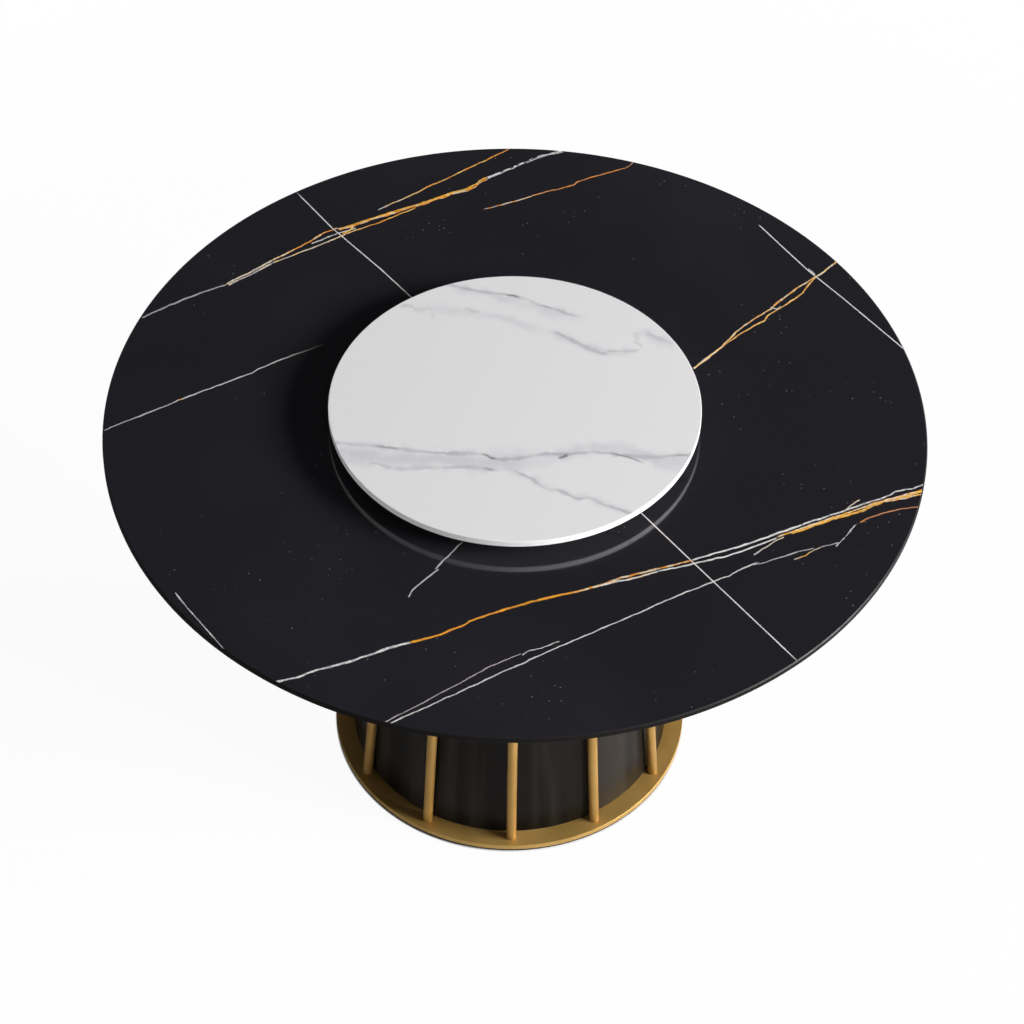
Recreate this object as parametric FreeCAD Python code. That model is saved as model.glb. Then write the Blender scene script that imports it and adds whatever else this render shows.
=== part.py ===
"""Round dining table with a lazy susan.

A 12 mm stone top on a plywood board is bolted to a pedestal: a black conical drum inside a cage of twelve
gold-coloured steel tubes, held between two flat steel rings. A steel column inside the drum carries the load
to a base plate. A white stone disc turns on a ball-bearing ring that stands on rubber feet on the top.

Frame: millimetres, +Z up, origin on the floor at the centre of the pedestal. A diner sits at -Y.
Every piece is one STEP file in parts/, named as the piece.
"""

import FreeCAD
import Part
import math
import os

Vector = FreeCAD.Vector
UP = Vector(0, 0, 1)
DOWN = Vector(0, 0, -1)
ALONG_X = Vector(1, 0, 0)

# ---- Table top -------------------------------------------------------------------------------------
TABLE_HEIGHT = 755.0            # floor to the face that plates stand on
TOP_DIAMETER = 1350.0
SLAB_THICKNESS = 12.0           # sintered stone
SLAB_CHAMFER = 2.0              # both arrises of the stone
ADHESIVE_THICKNESS = 1.5
ADHESIVE_DAB_DIAMETER = 50.0
ADHESIVE_EDGE_MARGIN = 45.0     # edge of the board to the centres of the outer dabs
ADHESIVE_RING_PITCH = 165.0     # from one ring of dabs to the next one in
ADHESIVE_DAB_SPACING = 200.0    # along a ring
BOARD_THICKNESS = 18.0          # plywood under the stone
BOARD_INSET = 95.0              # edge of the stone to the edge of the board
BOARD_EDGE_HEIGHT = 6.0         # upright part of the board's edge
BOARD_BEVEL_WIDTH = 25.0        # slope under that edge

# ---- Plate that joins top and pedestal -------------------------------------------------------------
PLATE_THICKNESS = 6.0
PLATE_OVERHANG = 50.0           # how far the plate stands out past the upper ring
TOP_BOLT_COUNT = 8
TOP_BOLT_EDGE_MARGIN = 20.0     # plate's edge to the bolt centres
TOP_BOLT_RADIUS = 4.0           # M8
TOP_BOLT_LENGTH = 18.0          # under the washer
TOP_BOLT_HEAD_FLATS = 13.0
TOP_BOLT_HEAD_HEIGHT = 5.3
WASHER_RADIUS = 10.0
WASHER_THICKNESS = 1.6
INSERT_RADIUS = 6.0             # brass threaded insert
INSERT_LENGTH = 14.0

# ---- Cage of tubes between two rings ---------------------------------------------------------------
TUBE_COUNT = 12
TUBE_RADIUS = 8.6               # stock 17.2 mm steel tube
TUBE_WALL = 1.5
TUBE_FOOT_CIRCLE = 290.5        # radius of the circle of tube axes on the lower ring
TUBE_HEAD_CIRCLE = 231.5        # the same at the upper ring, so the tubes lean inwards
LOWER_RING_THICKNESS = 10.0
UPPER_RING_THICKNESS = 8.0
RING_LIP = 11.9                 # tube's face to the ring's outer edge
RING_UNDER_DRUM = 36.0          # drum's face to the ring's inner edge
RING_EDGE_ROUND = 0.8
PLUG_LENGTH = 20.0              # threaded plug in each end of a tube
TUBE_SCREW_RADIUS = 3.0         # M6
TUBE_SCREW_LENGTH = 24.0
TUBE_SCREW_SINK = 1.2           # the leaning head lies this far below the ring's face

# ---- Drum ------------------------------------------------------------------------------------------
DRUM_GAP = 2.5                  # tube's face to the drum's face
SKIN_THICKNESS = 1.5
SKIN_END_GAP = 2.5              # shadow gap between the skin and each ring
SEAM_GAP = 0.6
SEAM_STRIP_WIDTH = 60.0
SEAM_STRIP_THICKNESS = 1.2
FORMER_THICKNESS = 18.0         # plywood rings that hold the skin round
FORMER_WIDTH = 32.0
BATTEN_COUNT = 6
BATTEN_WIDTH = 40.0
BATTEN_DEPTH = 18.0
SKIN_SCREW_RADIUS = 1.5
SKIN_SCREW_LENGTH = 14.0
SKIN_SCREW_HEAD_RADIUS = 2.8    # low round head, outside the skin
SKIN_SCREW_HEAD_HEIGHT = 1.4
SKIN_SCREW_HEAD_ROUND = 0.8
SKIN_SCREW_TUBES = 2            # tubes on either side of the seam that have skin screws behind them

# ---- Column and base -------------------------------------------------------------------------------
GLIDE_THICKNESS = 2.0
GLIDE_DIAMETER = 44.0
GLIDE_COUNT = 8
GLIDE_EDGE_MARGIN = 32.0        # base plate's edge to the glide centres
BASE_PLATE_THICKNESS = 4.0
BASE_PLATE_SETBACK = 1.0        # the plate stays this far inside the lower ring's edge
COLUMN_RADIUS = 70.0
COLUMN_WALL = 4.0
FLANGE_MARGIN = 50.0            # column's face to the flange's edge
FLANGE_THICKNESS = 8.0
FLANGE_SCREW_COUNT = 6
FLANGE_SCREW_RADIUS = 5.0       # M10
GUSSET_COUNT = 6
GUSSET_THICKNESS = 5.0
GUSSET_REACH = 40.0
GUSSET_HEIGHT = 70.0
RING_SCREW_COUNT = 6
RING_SCREW_RADIUS = 2.5
SCREW_TIP_MARGIN = 4.0          # wood left past the tip of a ring screw
FLANGE_SCREW_MARGIN = 1.0       # a flange screw stops this far inside its flange

# ---- Lazy susan ------------------------------------------------------------------------------------
DISC_DIAMETER = 610.0
DISC_THICKNESS = 12.0
DISC_ARRIS = 1.0                # rounded edge of the stone disc
BALL_CIRCLE = 200.0             # radius of the circle of ball centres
BALL_RADIUS = 4.0
BALL_COUNT = 30
BALL_CLEARANCE = 0.15
RACE_GAP = 2.0                  # between the two bearing rings
RACE_WIDTH = 19.0
RACE_EDGE = 1.85                # least metal above and below the groove
RACE_STEP = 3.0                 # the inner ring stands this much higher than the outer one
RACE_CHAMFER = 1.0
CAGE_THICKNESS = 1.2
CAGE_RIM = 0.8                  # above and below a pocket
CAGE_POCKET_CLEARANCE = 0.2
FILLING_CLEARANCE = 0.6         # of a ball in the hole that the balls go in by
PLUG_SLOT_WIDTH = 1.2
PLUG_SLOT_DEPTH = 1.0
SUSAN_FOOT_THICKNESS = 3.0
SUSAN_FOOT_COUNT = 8
DISC_PAD_THICKNESS = 3.0
DISC_PAD_COUNT = 8

# ---- Fits ------------------------------------------------------------------------------------------
SLIP = 0.1                      # radial clearance of a screw or plug in its hole
FIT = 0.1                       # clearance of the drum skin over its formers
HEAD_SLOPE = 1.1                # height of a countersunk head over the radius it gains
SOCKET_SHARE = 0.55             # hex key's half width over the screw's radius

# ---- Levels, from the floor up ---------------------------------------------------------------------
BASE_PLATE_BOTTOM = GLIDE_THICKNESS
LOWER_RING_BOTTOM = BASE_PLATE_BOTTOM + BASE_PLATE_THICKNESS
LOWER_RING_TOP = LOWER_RING_BOTTOM + LOWER_RING_THICKNESS
FOOT_FLANGE_TOP = LOWER_RING_BOTTOM + FLANGE_THICKNESS
SLAB_BOTTOM = TABLE_HEIGHT - SLAB_THICKNESS
BOARD_TOP = SLAB_BOTTOM - ADHESIVE_THICKNESS
BOARD_BOTTOM = BOARD_TOP - BOARD_THICKNESS
PLATE_BOTTOM = BOARD_BOTTOM - PLATE_THICKNESS
UPPER_RING_BOTTOM = PLATE_BOTTOM - UPPER_RING_THICKNESS
HEAD_FLANGE_BOTTOM = PLATE_BOTTOM - FLANGE_THICKNESS
RACE_HEIGHT = 2 * (BALL_RADIUS + BALL_CLEARANCE + RACE_EDGE) + RACE_STEP
RACE_BOTTOM = TABLE_HEIGHT + SUSAN_FOOT_THICKNESS
RACE_TOP = RACE_BOTTOM + RACE_STEP + RACE_HEIGHT
BALL_LEVEL = (RACE_BOTTOM + RACE_TOP) / 2
DISC_BOTTOM = RACE_TOP + DISC_PAD_THICKNESS

# ---- Radii that several pieces share ---------------------------------------------------------------
TUBE_RISE = UPPER_RING_BOTTOM - LOWER_RING_TOP
TUBE_LEAN = (TUBE_FOOT_CIRCLE - TUBE_HEAD_CIRCLE) / TUBE_RISE
TUBE_AXIS = Vector(-TUBE_LEAN, 0, 1).normalize()
LEAN_STRETCH = math.hypot(1, TUBE_LEAN)
DRUM_FOOT_RADIUS = TUBE_FOOT_CIRCLE - (TUBE_RADIUS + DRUM_GAP) * LEAN_STRETCH
DRUM_HEAD_RADIUS = DRUM_FOOT_RADIUS - (TUBE_FOOT_CIRCLE - TUBE_HEAD_CIRCLE)
SKIN_BACK_RADIUS = DRUM_FOOT_RADIUS - SKIN_THICKNESS * LEAN_STRETCH - FIT
LOWER_RING_RADIUS = TUBE_FOOT_CIRCLE + TUBE_RADIUS + RING_LIP
UPPER_RING_RADIUS = TUBE_HEAD_CIRCLE + TUBE_RADIUS + RING_LIP
BASE_PLATE_RADIUS = LOWER_RING_RADIUS - BASE_PLATE_SETBACK
PLATE_RADIUS = UPPER_RING_RADIUS + PLATE_OVERHANG
BOARD_RADIUS = TOP_DIAMETER / 2 - BOARD_INSET
FLANGE_RADIUS = COLUMN_RADIUS + FLANGE_MARGIN
FLANGE_SCREW_CIRCLE = (COLUMN_RADIUS + FLANGE_RADIUS) / 2
OUTER_RACE_BORE = BALL_CIRCLE + RACE_GAP / 2
INNER_RACE_RADIUS = BALL_CIRCLE - RACE_GAP / 2
PAD_RADIUS = RACE_WIDTH / 2 - RACE_CHAMFER
REAR = 90.0                     # azimuth of the drum's seam, away from the diner


def save(name, *shapes):
    """Writes one sub-part, of one or more solids, to its own file."""
    solids = [solid for shape in shapes for solid in shape.Solids]
    body = solids[0] if len(solids) == 1 else Part.makeCompound(solids)
    body.exportStep(os.path.join("parts", name + ".step"))


def around(shape, azimuth):
    """A copy of a shape made at azimuth 0 (+X), turned about the table's axis."""
    copy = shape.copy()
    copy.rotate(Vector(0, 0, 0), UP, azimuth)
    return copy


def ring_of(shape, count, start=0.0):
    """Equally spaced copies round the table's axis."""
    return [around(shape, start + 360.0 * i / count) for i in range(count)]


def drilled(shape, holes):
    """The shape with holes cut out of it one at a time."""
    for hole in holes:
        shape = shape.cut(hole)
    return shape


def cylinder(radius, bottom, top, centre=(0.0, 0.0)):
    return Part.makeCylinder(radius, top - bottom, Vector(centre[0], centre[1], bottom))


def tube(outer, inner, bottom, top):
    """A flat ring or an upright tube."""
    return cylinder(outer, bottom, top).cut(cylinder(inner, bottom, top))


def round_edges(shape):
    """The edges of a round piece that run all the way round."""
    return [edge for edge in shape.Edges if edge.Closed]


def cone(bottom_radius, top_radius, bottom, top):
    return Part.makeCone(bottom_radius, top_radius, top - bottom, Vector(0, 0, bottom))


def leaning_radius(foot_radius, level):
    """Radius at a level of a line that leans as the tubes do and has foot_radius on the lower ring."""
    return foot_radius - TUBE_LEAN * (level - LOWER_RING_TOP)


def leaning_cone(foot_radius, bottom, top):
    """A solid cone parallel to the tubes."""
    return cone(leaning_radius(foot_radius, bottom), leaning_radius(foot_radius, top), bottom, top)


def screw(radius, length):
    """A countersunk screw with a hexagon socket, along +X from its flat head at x = 0."""
    head_height = HEAD_SLOPE * radius
    shank = Part.makeCylinder(radius, length, Vector(0, 0, 0), ALONG_X)
    head = Part.makeCone(2 * radius, radius, head_height, Vector(0, 0, 0), ALONG_X)
    socket = hexagon(2 * SOCKET_SHARE * radius, 0.0, head_height)
    return shank.fuse(head).removeSplitter().cut(socket)


def screw_hole(radius, length, mouth=0.0):
    """The countersunk hole for that screw; mouth carries it on past the head at the head's full width."""
    wide = 2 * radius + SLIP
    narrow = radius + SLIP
    shank = Part.makeCylinder(narrow, length + SLIP, Vector(0, 0, 0), ALONG_X)
    hole = shank.fuse(Part.makeCone(wide, narrow, HEAD_SLOPE * radius, Vector(0, 0, 0), ALONG_X))
    if mouth:
        hole = hole.fuse(Part.makeCylinder(wide, mouth, Vector(-mouth, 0, 0), ALONG_X))
    return hole.removeSplitter()


def hexagon(flats, start, length):
    """A hexagonal bar along +X, flats wide across its flats."""
    corner = flats / 2 / math.cos(math.pi / 6)
    points = []
    for i in range(7):
        angle = math.pi / 3 * i
        points.append(Vector(start, corner * math.cos(angle), corner * math.sin(angle)))
    return Part.Face(Part.makePolygon(points)).extrude(Vector(length, 0, 0))


def placed(shape, at, along):
    """Moves a piece made along +X from the origin, so that it starts at a point and runs along a direction."""
    copy = shape.copy()
    turn = FreeCAD.Rotation(ALONG_X, along)
    copy.Placement = FreeCAD.Placement(at, turn).multiply(copy.Placement)
    return copy


def dabs_between_stone_and_board():
    """Centres of the dabs of adhesive: rings from the board's edge inwards."""
    centres = [(0.0, 0.0)]
    radius = BOARD_RADIUS - ADHESIVE_EDGE_MARGIN
    while radius > ADHESIVE_RING_PITCH / 2:
        count = max(6, round(2 * math.pi * radius / ADHESIVE_DAB_SPACING))
        for i in range(count):
            angle = 2 * math.pi * i / count
            centres.append((radius * math.cos(angle), radius * math.sin(angle)))
        radius -= ADHESIVE_RING_PITCH
    return centres


# ---- Table top -------------------------------------------------------------------------------------
def stone_top():
    """The stone slab, with both arrises chamfered, and the dabs that bed it on the board."""
    radius = TOP_DIAMETER / 2
    inner = radius - SLAB_CHAMFER
    slab = cone(inner, radius, SLAB_BOTTOM, SLAB_BOTTOM + SLAB_CHAMFER)
    slab = slab.fuse(cylinder(radius, SLAB_BOTTOM + SLAB_CHAMFER, TABLE_HEIGHT - SLAB_CHAMFER))
    slab = slab.fuse(cone(radius, inner, TABLE_HEIGHT - SLAB_CHAMFER, TABLE_HEIGHT))
    save("top_slab", slab.removeSplitter())
    dab_radius = ADHESIVE_DAB_DIAMETER / 2
    dabs = [cylinder(dab_radius, BOARD_TOP, SLAB_BOTTOM, centre) for centre in dabs_between_stone_and_board()]
    save("slab_adhesive", *dabs)


def top_fasteners():
    """The top's bolts, washers and threaded inserts. Returns their holes in the board and in the plate."""
    centre = (PLATE_RADIUS - TOP_BOLT_EDGE_MARGIN, 0.0)
    washer_bottom = PLATE_BOTTOM - WASHER_THICKNESS
    insert_top = BOARD_BOTTOM + INSERT_LENGTH
    clear_radius = TOP_BOLT_RADIUS + SLIP
    insert = cylinder(INSERT_RADIUS, BOARD_BOTTOM, insert_top, centre)
    insert = insert.cut(cylinder(clear_radius, BOARD_BOTTOM, insert_top, centre))
    washer = cylinder(WASHER_RADIUS, washer_bottom, PLATE_BOTTOM, centre)
    washer = washer.cut(cylinder(clear_radius, washer_bottom, PLATE_BOTTOM, centre))
    head = hexagon(TOP_BOLT_HEAD_FLATS, -TOP_BOLT_HEAD_HEIGHT, TOP_BOLT_HEAD_HEIGHT)
    head = placed(head, Vector(centre[0], 0, washer_bottom), UP)
    shank = cylinder(TOP_BOLT_RADIUS, washer_bottom, PLATE_BOTTOM + TOP_BOLT_LENGTH, centre)
    save("threaded_inserts", *ring_of(insert, TOP_BOLT_COUNT))
    save("top_washers", *ring_of(washer, TOP_BOLT_COUNT))
    save("top_bolts", *ring_of(head.fuse(shank).removeSplitter(), TOP_BOLT_COUNT))
    board_hole = cylinder(INSERT_RADIUS + SLIP, BOARD_BOTTOM, insert_top + SLIP, centre)
    plate_hole = cylinder(clear_radius + SLIP, PLATE_BOTTOM, BOARD_BOTTOM, centre)
    return ring_of(board_hole, TOP_BOLT_COUNT), ring_of(plate_hole, TOP_BOLT_COUNT)


def backing_board(insert_holes):
    """The plywood board, bevelled underneath so that it doesn't show past the stone."""
    edge_bottom = BOARD_TOP - BOARD_EDGE_HEIGHT
    board = cylinder(BOARD_RADIUS, edge_bottom, BOARD_TOP)
    board = board.fuse(cone(BOARD_RADIUS - BOARD_BEVEL_WIDTH, BOARD_RADIUS, BOARD_BOTTOM, edge_bottom))
    save("backing_board", drilled(board.removeSplitter(), insert_holes))


# ---- Pedestal: screws that hold its plates and rings -----------------------------------------------
def screw_pair(radius, length, circle, level, along, count, start=0.0):
    """Equally spaced upright countersunk screws, and the holes for them."""
    at = Vector(circle, 0, level)
    screws = ring_of(placed(screw(radius, length), at, along), count, start)
    holes = ring_of(placed(screw_hole(radius, length), at, along), count, start)
    return screws, holes


def tube_screw_pair(face, along):
    """The screws along the leaning tubes, from the outer face of a ring into the plugs."""
    at = Vector(leaning_radius(TUBE_FOOT_CIRCLE, face), 0, face) + along * TUBE_SCREW_SINK
    one = placed(screw(TUBE_SCREW_RADIUS, TUBE_SCREW_LENGTH), at, along)
    hole = placed(screw_hole(TUBE_SCREW_RADIUS, TUBE_SCREW_LENGTH, 2 * TUBE_SCREW_SINK), at, along)
    return ring_of(one, TUBE_COUNT), ring_of(hole, TUBE_COUNT)


def skin_screw_pair():
    """Small screws through the skin into the formers, behind the tubes nearest to the seam."""
    inward = Vector(-1, 0, -TUBE_LEAN).normalize()
    head = Part.makeCylinder(
        SKIN_SCREW_HEAD_RADIUS, SKIN_SCREW_HEAD_HEIGHT, Vector(-SKIN_SCREW_HEAD_HEIGHT, 0, 0), ALONG_X)
    outer_edge = [edge for edge in round_edges(head) if edge.BoundBox.XMax < -SKIN_SCREW_HEAD_ROUND]
    head = head.makeFillet(SKIN_SCREW_HEAD_ROUND, outer_edge)
    whole = head.fuse(Part.makeCylinder(SKIN_SCREW_RADIUS, SKIN_SCREW_LENGTH, Vector(0, 0, 0), ALONG_X))
    bore_length = SKIN_SCREW_HEAD_HEIGHT + SKIN_SCREW_LENGTH + SLIP
    bore_start = Vector(-SKIN_SCREW_HEAD_HEIGHT, 0, 0)
    bore = Part.makeCylinder(SKIN_SCREW_RADIUS + SLIP, bore_length, bore_start, ALONG_X)
    screws = []
    holes = []
    for level in (LOWER_RING_TOP + FORMER_THICKNESS / 2, UPPER_RING_BOTTOM - FORMER_THICKNESS / 2):
        at = Vector(leaning_radius(DRUM_FOOT_RADIUS, level), 0, level)
        for i in range(-SKIN_SCREW_TUBES, SKIN_SCREW_TUBES + 1):
            if i != 0:
                azimuth = REAR + 360.0 * i / TUBE_COUNT
                screws.append(around(placed(whole, at, inward), azimuth))
                holes.append(around(placed(bore, at, inward), azimuth))
    return screws, holes


# ---- Pedestal: pieces ------------------------------------------------------------------------------
def leaning_bar(radius, bottom, top):
    """A round bar on a tube's axis, cut level at both ends, at azimuth 0."""
    spare = 2 * radius
    start = Vector(leaning_radius(TUBE_FOOT_CIRCLE, bottom), 0, bottom) - TUBE_AXIS * spare
    bar = Part.makeCylinder(radius, (top - bottom) * LEAN_STRETCH + 2 * spare, start, TUBE_AXIS)
    return bar.common(cylinder(2 * LOWER_RING_RADIUS, bottom, top))


def cage_tubes(foot_hole, head_hole):
    """Twelve leaning tubes, each with a threaded plug in both ends."""
    bore = TUBE_RADIUS - TUBE_WALL
    one = leaning_bar(TUBE_RADIUS, LOWER_RING_TOP, UPPER_RING_BOTTOM)
    one = one.cut(leaning_bar(bore, LOWER_RING_TOP, UPPER_RING_BOTTOM))
    for i, copy in enumerate(ring_of(one, TUBE_COUNT)):
        save("cage_tube_%02d" % (i + 1), copy)
    foot_plug = leaning_bar(bore - SLIP, LOWER_RING_TOP, LOWER_RING_TOP + PLUG_LENGTH)
    save("tube_foot_plugs", *ring_of(foot_plug.cut(foot_hole), TUBE_COUNT))
    head_plug = leaning_bar(bore - SLIP, UPPER_RING_BOTTOM - PLUG_LENGTH, UPPER_RING_BOTTOM)
    save("tube_head_plugs", *ring_of(head_plug.cut(head_hole), TUBE_COUNT))


def drum_skin(screw_holes):
    """The conical skin, open along a narrow seam at the rear."""
    bottom = LOWER_RING_TOP + SKIN_END_GAP
    top = UPPER_RING_BOTTOM - SKIN_END_GAP
    skin = leaning_cone(DRUM_FOOT_RADIUS, bottom, top).cut(leaning_cone(SKIN_BACK_RADIUS + FIT, bottom, top))
    save("drum_skin", drilled(around(skin, REAR).cut(rear_slab(SEAM_GAP)), screw_holes))


def rear_slab(width):
    """An upright slab through the rear of the drum, of a given width."""
    return Part.makeBox(width, 2 * DRUM_FOOT_RADIUS, TABLE_HEIGHT, Vector(-width / 2, 0, 0))


def drum_backing(lower_holes, upper_holes):
    """What holds the skin round: a former at each end, battens between them and the strip behind the seam."""
    bottom = LOWER_RING_TOP + FORMER_THICKNESS
    top = UPPER_RING_BOTTOM - FORMER_THICKNESS
    former("lower_former", LOWER_RING_TOP, bottom, lower_holes)
    former("upper_former", top, UPPER_RING_BOTTOM, upper_holes)

    strip_back = SKIN_BACK_RADIUS - SEAM_STRIP_THICKNESS
    strip = leaning_cone(SKIN_BACK_RADIUS, bottom, top).cut(leaning_cone(strip_back, bottom, top))
    save("seam_strip", strip.common(rear_slab(SEAM_STRIP_WIDTH)))

    half = BATTEN_WIDTH / 2
    rise = top - bottom
    face = math.sqrt(leaning_radius(strip_back - FIT, top) ** 2 - half ** 2) + TUBE_LEAN * rise
    corners = [
        Vector(face, -half, bottom),
        Vector(face, half, bottom),
        Vector(face - BATTEN_DEPTH, half, bottom),
        Vector(face - BATTEN_DEPTH, -half, bottom),
        Vector(face, -half, bottom),
    ]
    batten = Part.Face(Part.makePolygon(corners)).extrude(Vector(-TUBE_LEAN * rise, 0, rise))
    save("drum_battens", *ring_of(batten, BATTEN_COUNT, REAR))


def former(name, bottom, top, holes):
    """A plywood ring whose edge follows the inside of the skin."""
    hollow = cylinder(leaning_radius(SKIN_BACK_RADIUS, (bottom + top) / 2) - FORMER_WIDTH, bottom, top)
    save(name, drilled(leaning_cone(SKIN_BACK_RADIUS, bottom, top).cut(hollow), holes))


def column_frame(foot_flange_holes, head_flange_holes):
    """The load-bearing column with a screwed flange and gussets at each end."""
    save("column_tube", tube(COLUMN_RADIUS, COLUMN_RADIUS - COLUMN_WALL, FOOT_FLANGE_TOP, HEAD_FLANGE_BOTTOM))
    foot = cylinder(FLANGE_RADIUS, LOWER_RING_BOTTOM, FOOT_FLANGE_TOP)
    save("foot_flange", drilled(foot, foot_flange_holes))
    head = cylinder(FLANGE_RADIUS, HEAD_FLANGE_BOTTOM, PLATE_BOTTOM)
    save("head_flange", drilled(head, head_flange_holes))
    save("foot_gussets", *gussets(FOOT_FLANGE_TOP, GUSSET_HEIGHT))
    save("head_gussets", *gussets(HEAD_FLANGE_BOTTOM, -GUSSET_HEIGHT))


def gussets(level, height):
    """Triangular plates between a flange at a level and the column, halfway between the flange screws."""
    start = COLUMN_RADIUS + SLIP
    half = GUSSET_THICKNESS / 2
    corners = [
        Vector(start, -half, level),
        Vector(start + GUSSET_REACH, -half, level),
        Vector(start, -half, level + height),
        Vector(start, -half, level),
    ]
    plate = Part.Face(Part.makePolygon(corners)).extrude(Vector(0, GUSSET_THICKNESS, 0))
    return ring_of(plate, GUSSET_COUNT, 180.0 / FLANGE_SCREW_COUNT)


def pedestal(bolt_holes):
    """Base plate, glides, rings, mounting plate and every piece between them."""
    foot_screws, foot_holes = screw_pair(
        FLANGE_SCREW_RADIUS, BASE_PLATE_THICKNESS + FLANGE_THICKNESS - FLANGE_SCREW_MARGIN,
        FLANGE_SCREW_CIRCLE, BASE_PLATE_BOTTOM, UP, FLANGE_SCREW_COUNT)
    head_screws, head_holes = screw_pair(
        FLANGE_SCREW_RADIUS, PLATE_THICKNESS + FLANGE_THICKNESS - FLANGE_SCREW_MARGIN,
        FLANGE_SCREW_CIRCLE, BOARD_BOTTOM, DOWN, FLANGE_SCREW_COUNT)
    bite = FORMER_THICKNESS - SCREW_TIP_MARGIN
    between_tubes = 180.0 / TUBE_COUNT
    lower_screws, lower_holes = screw_pair(
        RING_SCREW_RADIUS, BASE_PLATE_THICKNESS + LOWER_RING_THICKNESS + bite,
        DRUM_FOOT_RADIUS - FORMER_WIDTH / 2, BASE_PLATE_BOTTOM, UP, RING_SCREW_COUNT, between_tubes)
    upper_screws, upper_holes = screw_pair(
        RING_SCREW_RADIUS, PLATE_THICKNESS + UPPER_RING_THICKNESS + bite,
        DRUM_HEAD_RADIUS - FORMER_WIDTH / 2, BOARD_BOTTOM, DOWN, RING_SCREW_COUNT, between_tubes)
    tube_foot_screws, tube_foot_holes = tube_screw_pair(LOWER_RING_BOTTOM, TUBE_AXIS)
    tube_head_screws, tube_head_holes = tube_screw_pair(PLATE_BOTTOM, TUBE_AXIS * -1)
    skin_screws, skin_holes = skin_screw_pair()

    glide = cylinder(GLIDE_DIAMETER / 2, 0.0, GLIDE_THICKNESS, (BASE_PLATE_RADIUS - GLIDE_EDGE_MARGIN, 0.0))
    save("glide_pads", *ring_of(glide, GLIDE_COUNT))
    base = cylinder(BASE_PLATE_RADIUS, BASE_PLATE_BOTTOM, LOWER_RING_BOTTOM)
    save("base_plate", drilled(base, foot_holes + lower_holes))
    lower = tube(LOWER_RING_RADIUS, DRUM_FOOT_RADIUS - RING_UNDER_DRUM, LOWER_RING_BOTTOM, LOWER_RING_TOP)
    lower = lower.makeFillet(RING_EDGE_ROUND, round_edges(lower))
    save("lower_ring", drilled(lower, lower_holes + tube_foot_holes))
    upper = tube(UPPER_RING_RADIUS, DRUM_HEAD_RADIUS - RING_UNDER_DRUM, UPPER_RING_BOTTOM, PLATE_BOTTOM)
    upper = upper.makeFillet(RING_EDGE_ROUND, round_edges(upper))
    save("upper_ring", drilled(upper, upper_holes + tube_head_holes))
    plate = cylinder(PLATE_RADIUS, PLATE_BOTTOM, BOARD_BOTTOM)
    save("mounting_plate", drilled(plate, head_holes + upper_holes + bolt_holes))

    column_frame(foot_holes, head_holes)
    cage_tubes(tube_foot_holes[0], tube_head_holes[0])
    drum_skin(skin_holes)
    drum_backing(lower_holes + skin_holes, upper_holes + skin_holes)
    save("foot_flange_screws", *foot_screws)
    save("head_flange_screws", *head_screws)
    save("lower_ring_screws", *lower_screws)
    save("upper_ring_screws", *upper_screws)
    save("tube_foot_screws", *tube_foot_screws)
    save("tube_head_screws", *tube_head_screws)
    save("skin_screws", *skin_screws)


# ---- Lazy susan ------------------------------------------------------------------------------------
def race(inner, outer, bottom):
    """An aluminium bearing ring with chamfered edges and the groove that the balls run in."""
    body = tube(outer, inner, bottom, bottom + RACE_HEIGHT)
    groove = Part.makeTorus(BALL_CIRCLE, BALL_RADIUS + BALL_CLEARANCE, Vector(0, 0, BALL_LEVEL))
    return body.makeChamfer(RACE_CHAMFER, round_edges(body)).cut(groove)


def bearing():
    """Two grooved rings, the balls between them, their cage and the plug of the filling hole."""
    outer_radius = OUTER_RACE_BORE + RACE_WIDTH
    plug_radius = BALL_RADIUS + FILLING_CLEARANCE
    centre = Vector(BALL_CIRCLE, 0, BALL_LEVEL)
    filling_hole = Part.makeCylinder(plug_radius + SLIP, outer_radius - BALL_CIRCLE, centre, ALONG_X)
    outer = race(OUTER_RACE_BORE, outer_radius, RACE_BOTTOM)
    save("bearing_outer_ring", outer.cut(filling_hole))
    inner = race(INNER_RACE_RADIUS - RACE_WIDTH, INNER_RACE_RADIUS, RACE_BOTTOM + RACE_STEP)
    save("bearing_inner_ring", inner)

    plug_start = BALL_CIRCLE + BALL_RADIUS + 2 * BALL_CLEARANCE
    plug_end = outer_radius - RACE_CHAMFER
    plug = Part.makeCylinder(plug_radius, plug_end - plug_start, Vector(plug_start, 0, BALL_LEVEL), ALONG_X)
    slot_corner = Vector(plug_end - PLUG_SLOT_DEPTH, -plug_radius, BALL_LEVEL - PLUG_SLOT_WIDTH / 2)
    slot = Part.makeBox(PLUG_SLOT_DEPTH, 2 * plug_radius, PLUG_SLOT_WIDTH, slot_corner)
    save("filling_plug", plug.cut(slot))

    pocket_radius = BALL_RADIUS + CAGE_POCKET_CLEARANCE
    half = CAGE_THICKNESS / 2
    reach = pocket_radius + CAGE_RIM
    cage = tube(BALL_CIRCLE + half, BALL_CIRCLE - half, BALL_LEVEL - reach, BALL_LEVEL + reach)
    pocket_start = Vector(BALL_CIRCLE - pocket_radius, 0, BALL_LEVEL)
    pocket = Part.makeCylinder(pocket_radius, 2 * pocket_radius, pocket_start, ALONG_X)
    save("ball_cage", drilled(cage, ring_of(pocket, BALL_COUNT)))
    save("bearing_balls", *ring_of(Part.makeSphere(BALL_RADIUS, centre), BALL_COUNT))


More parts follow.
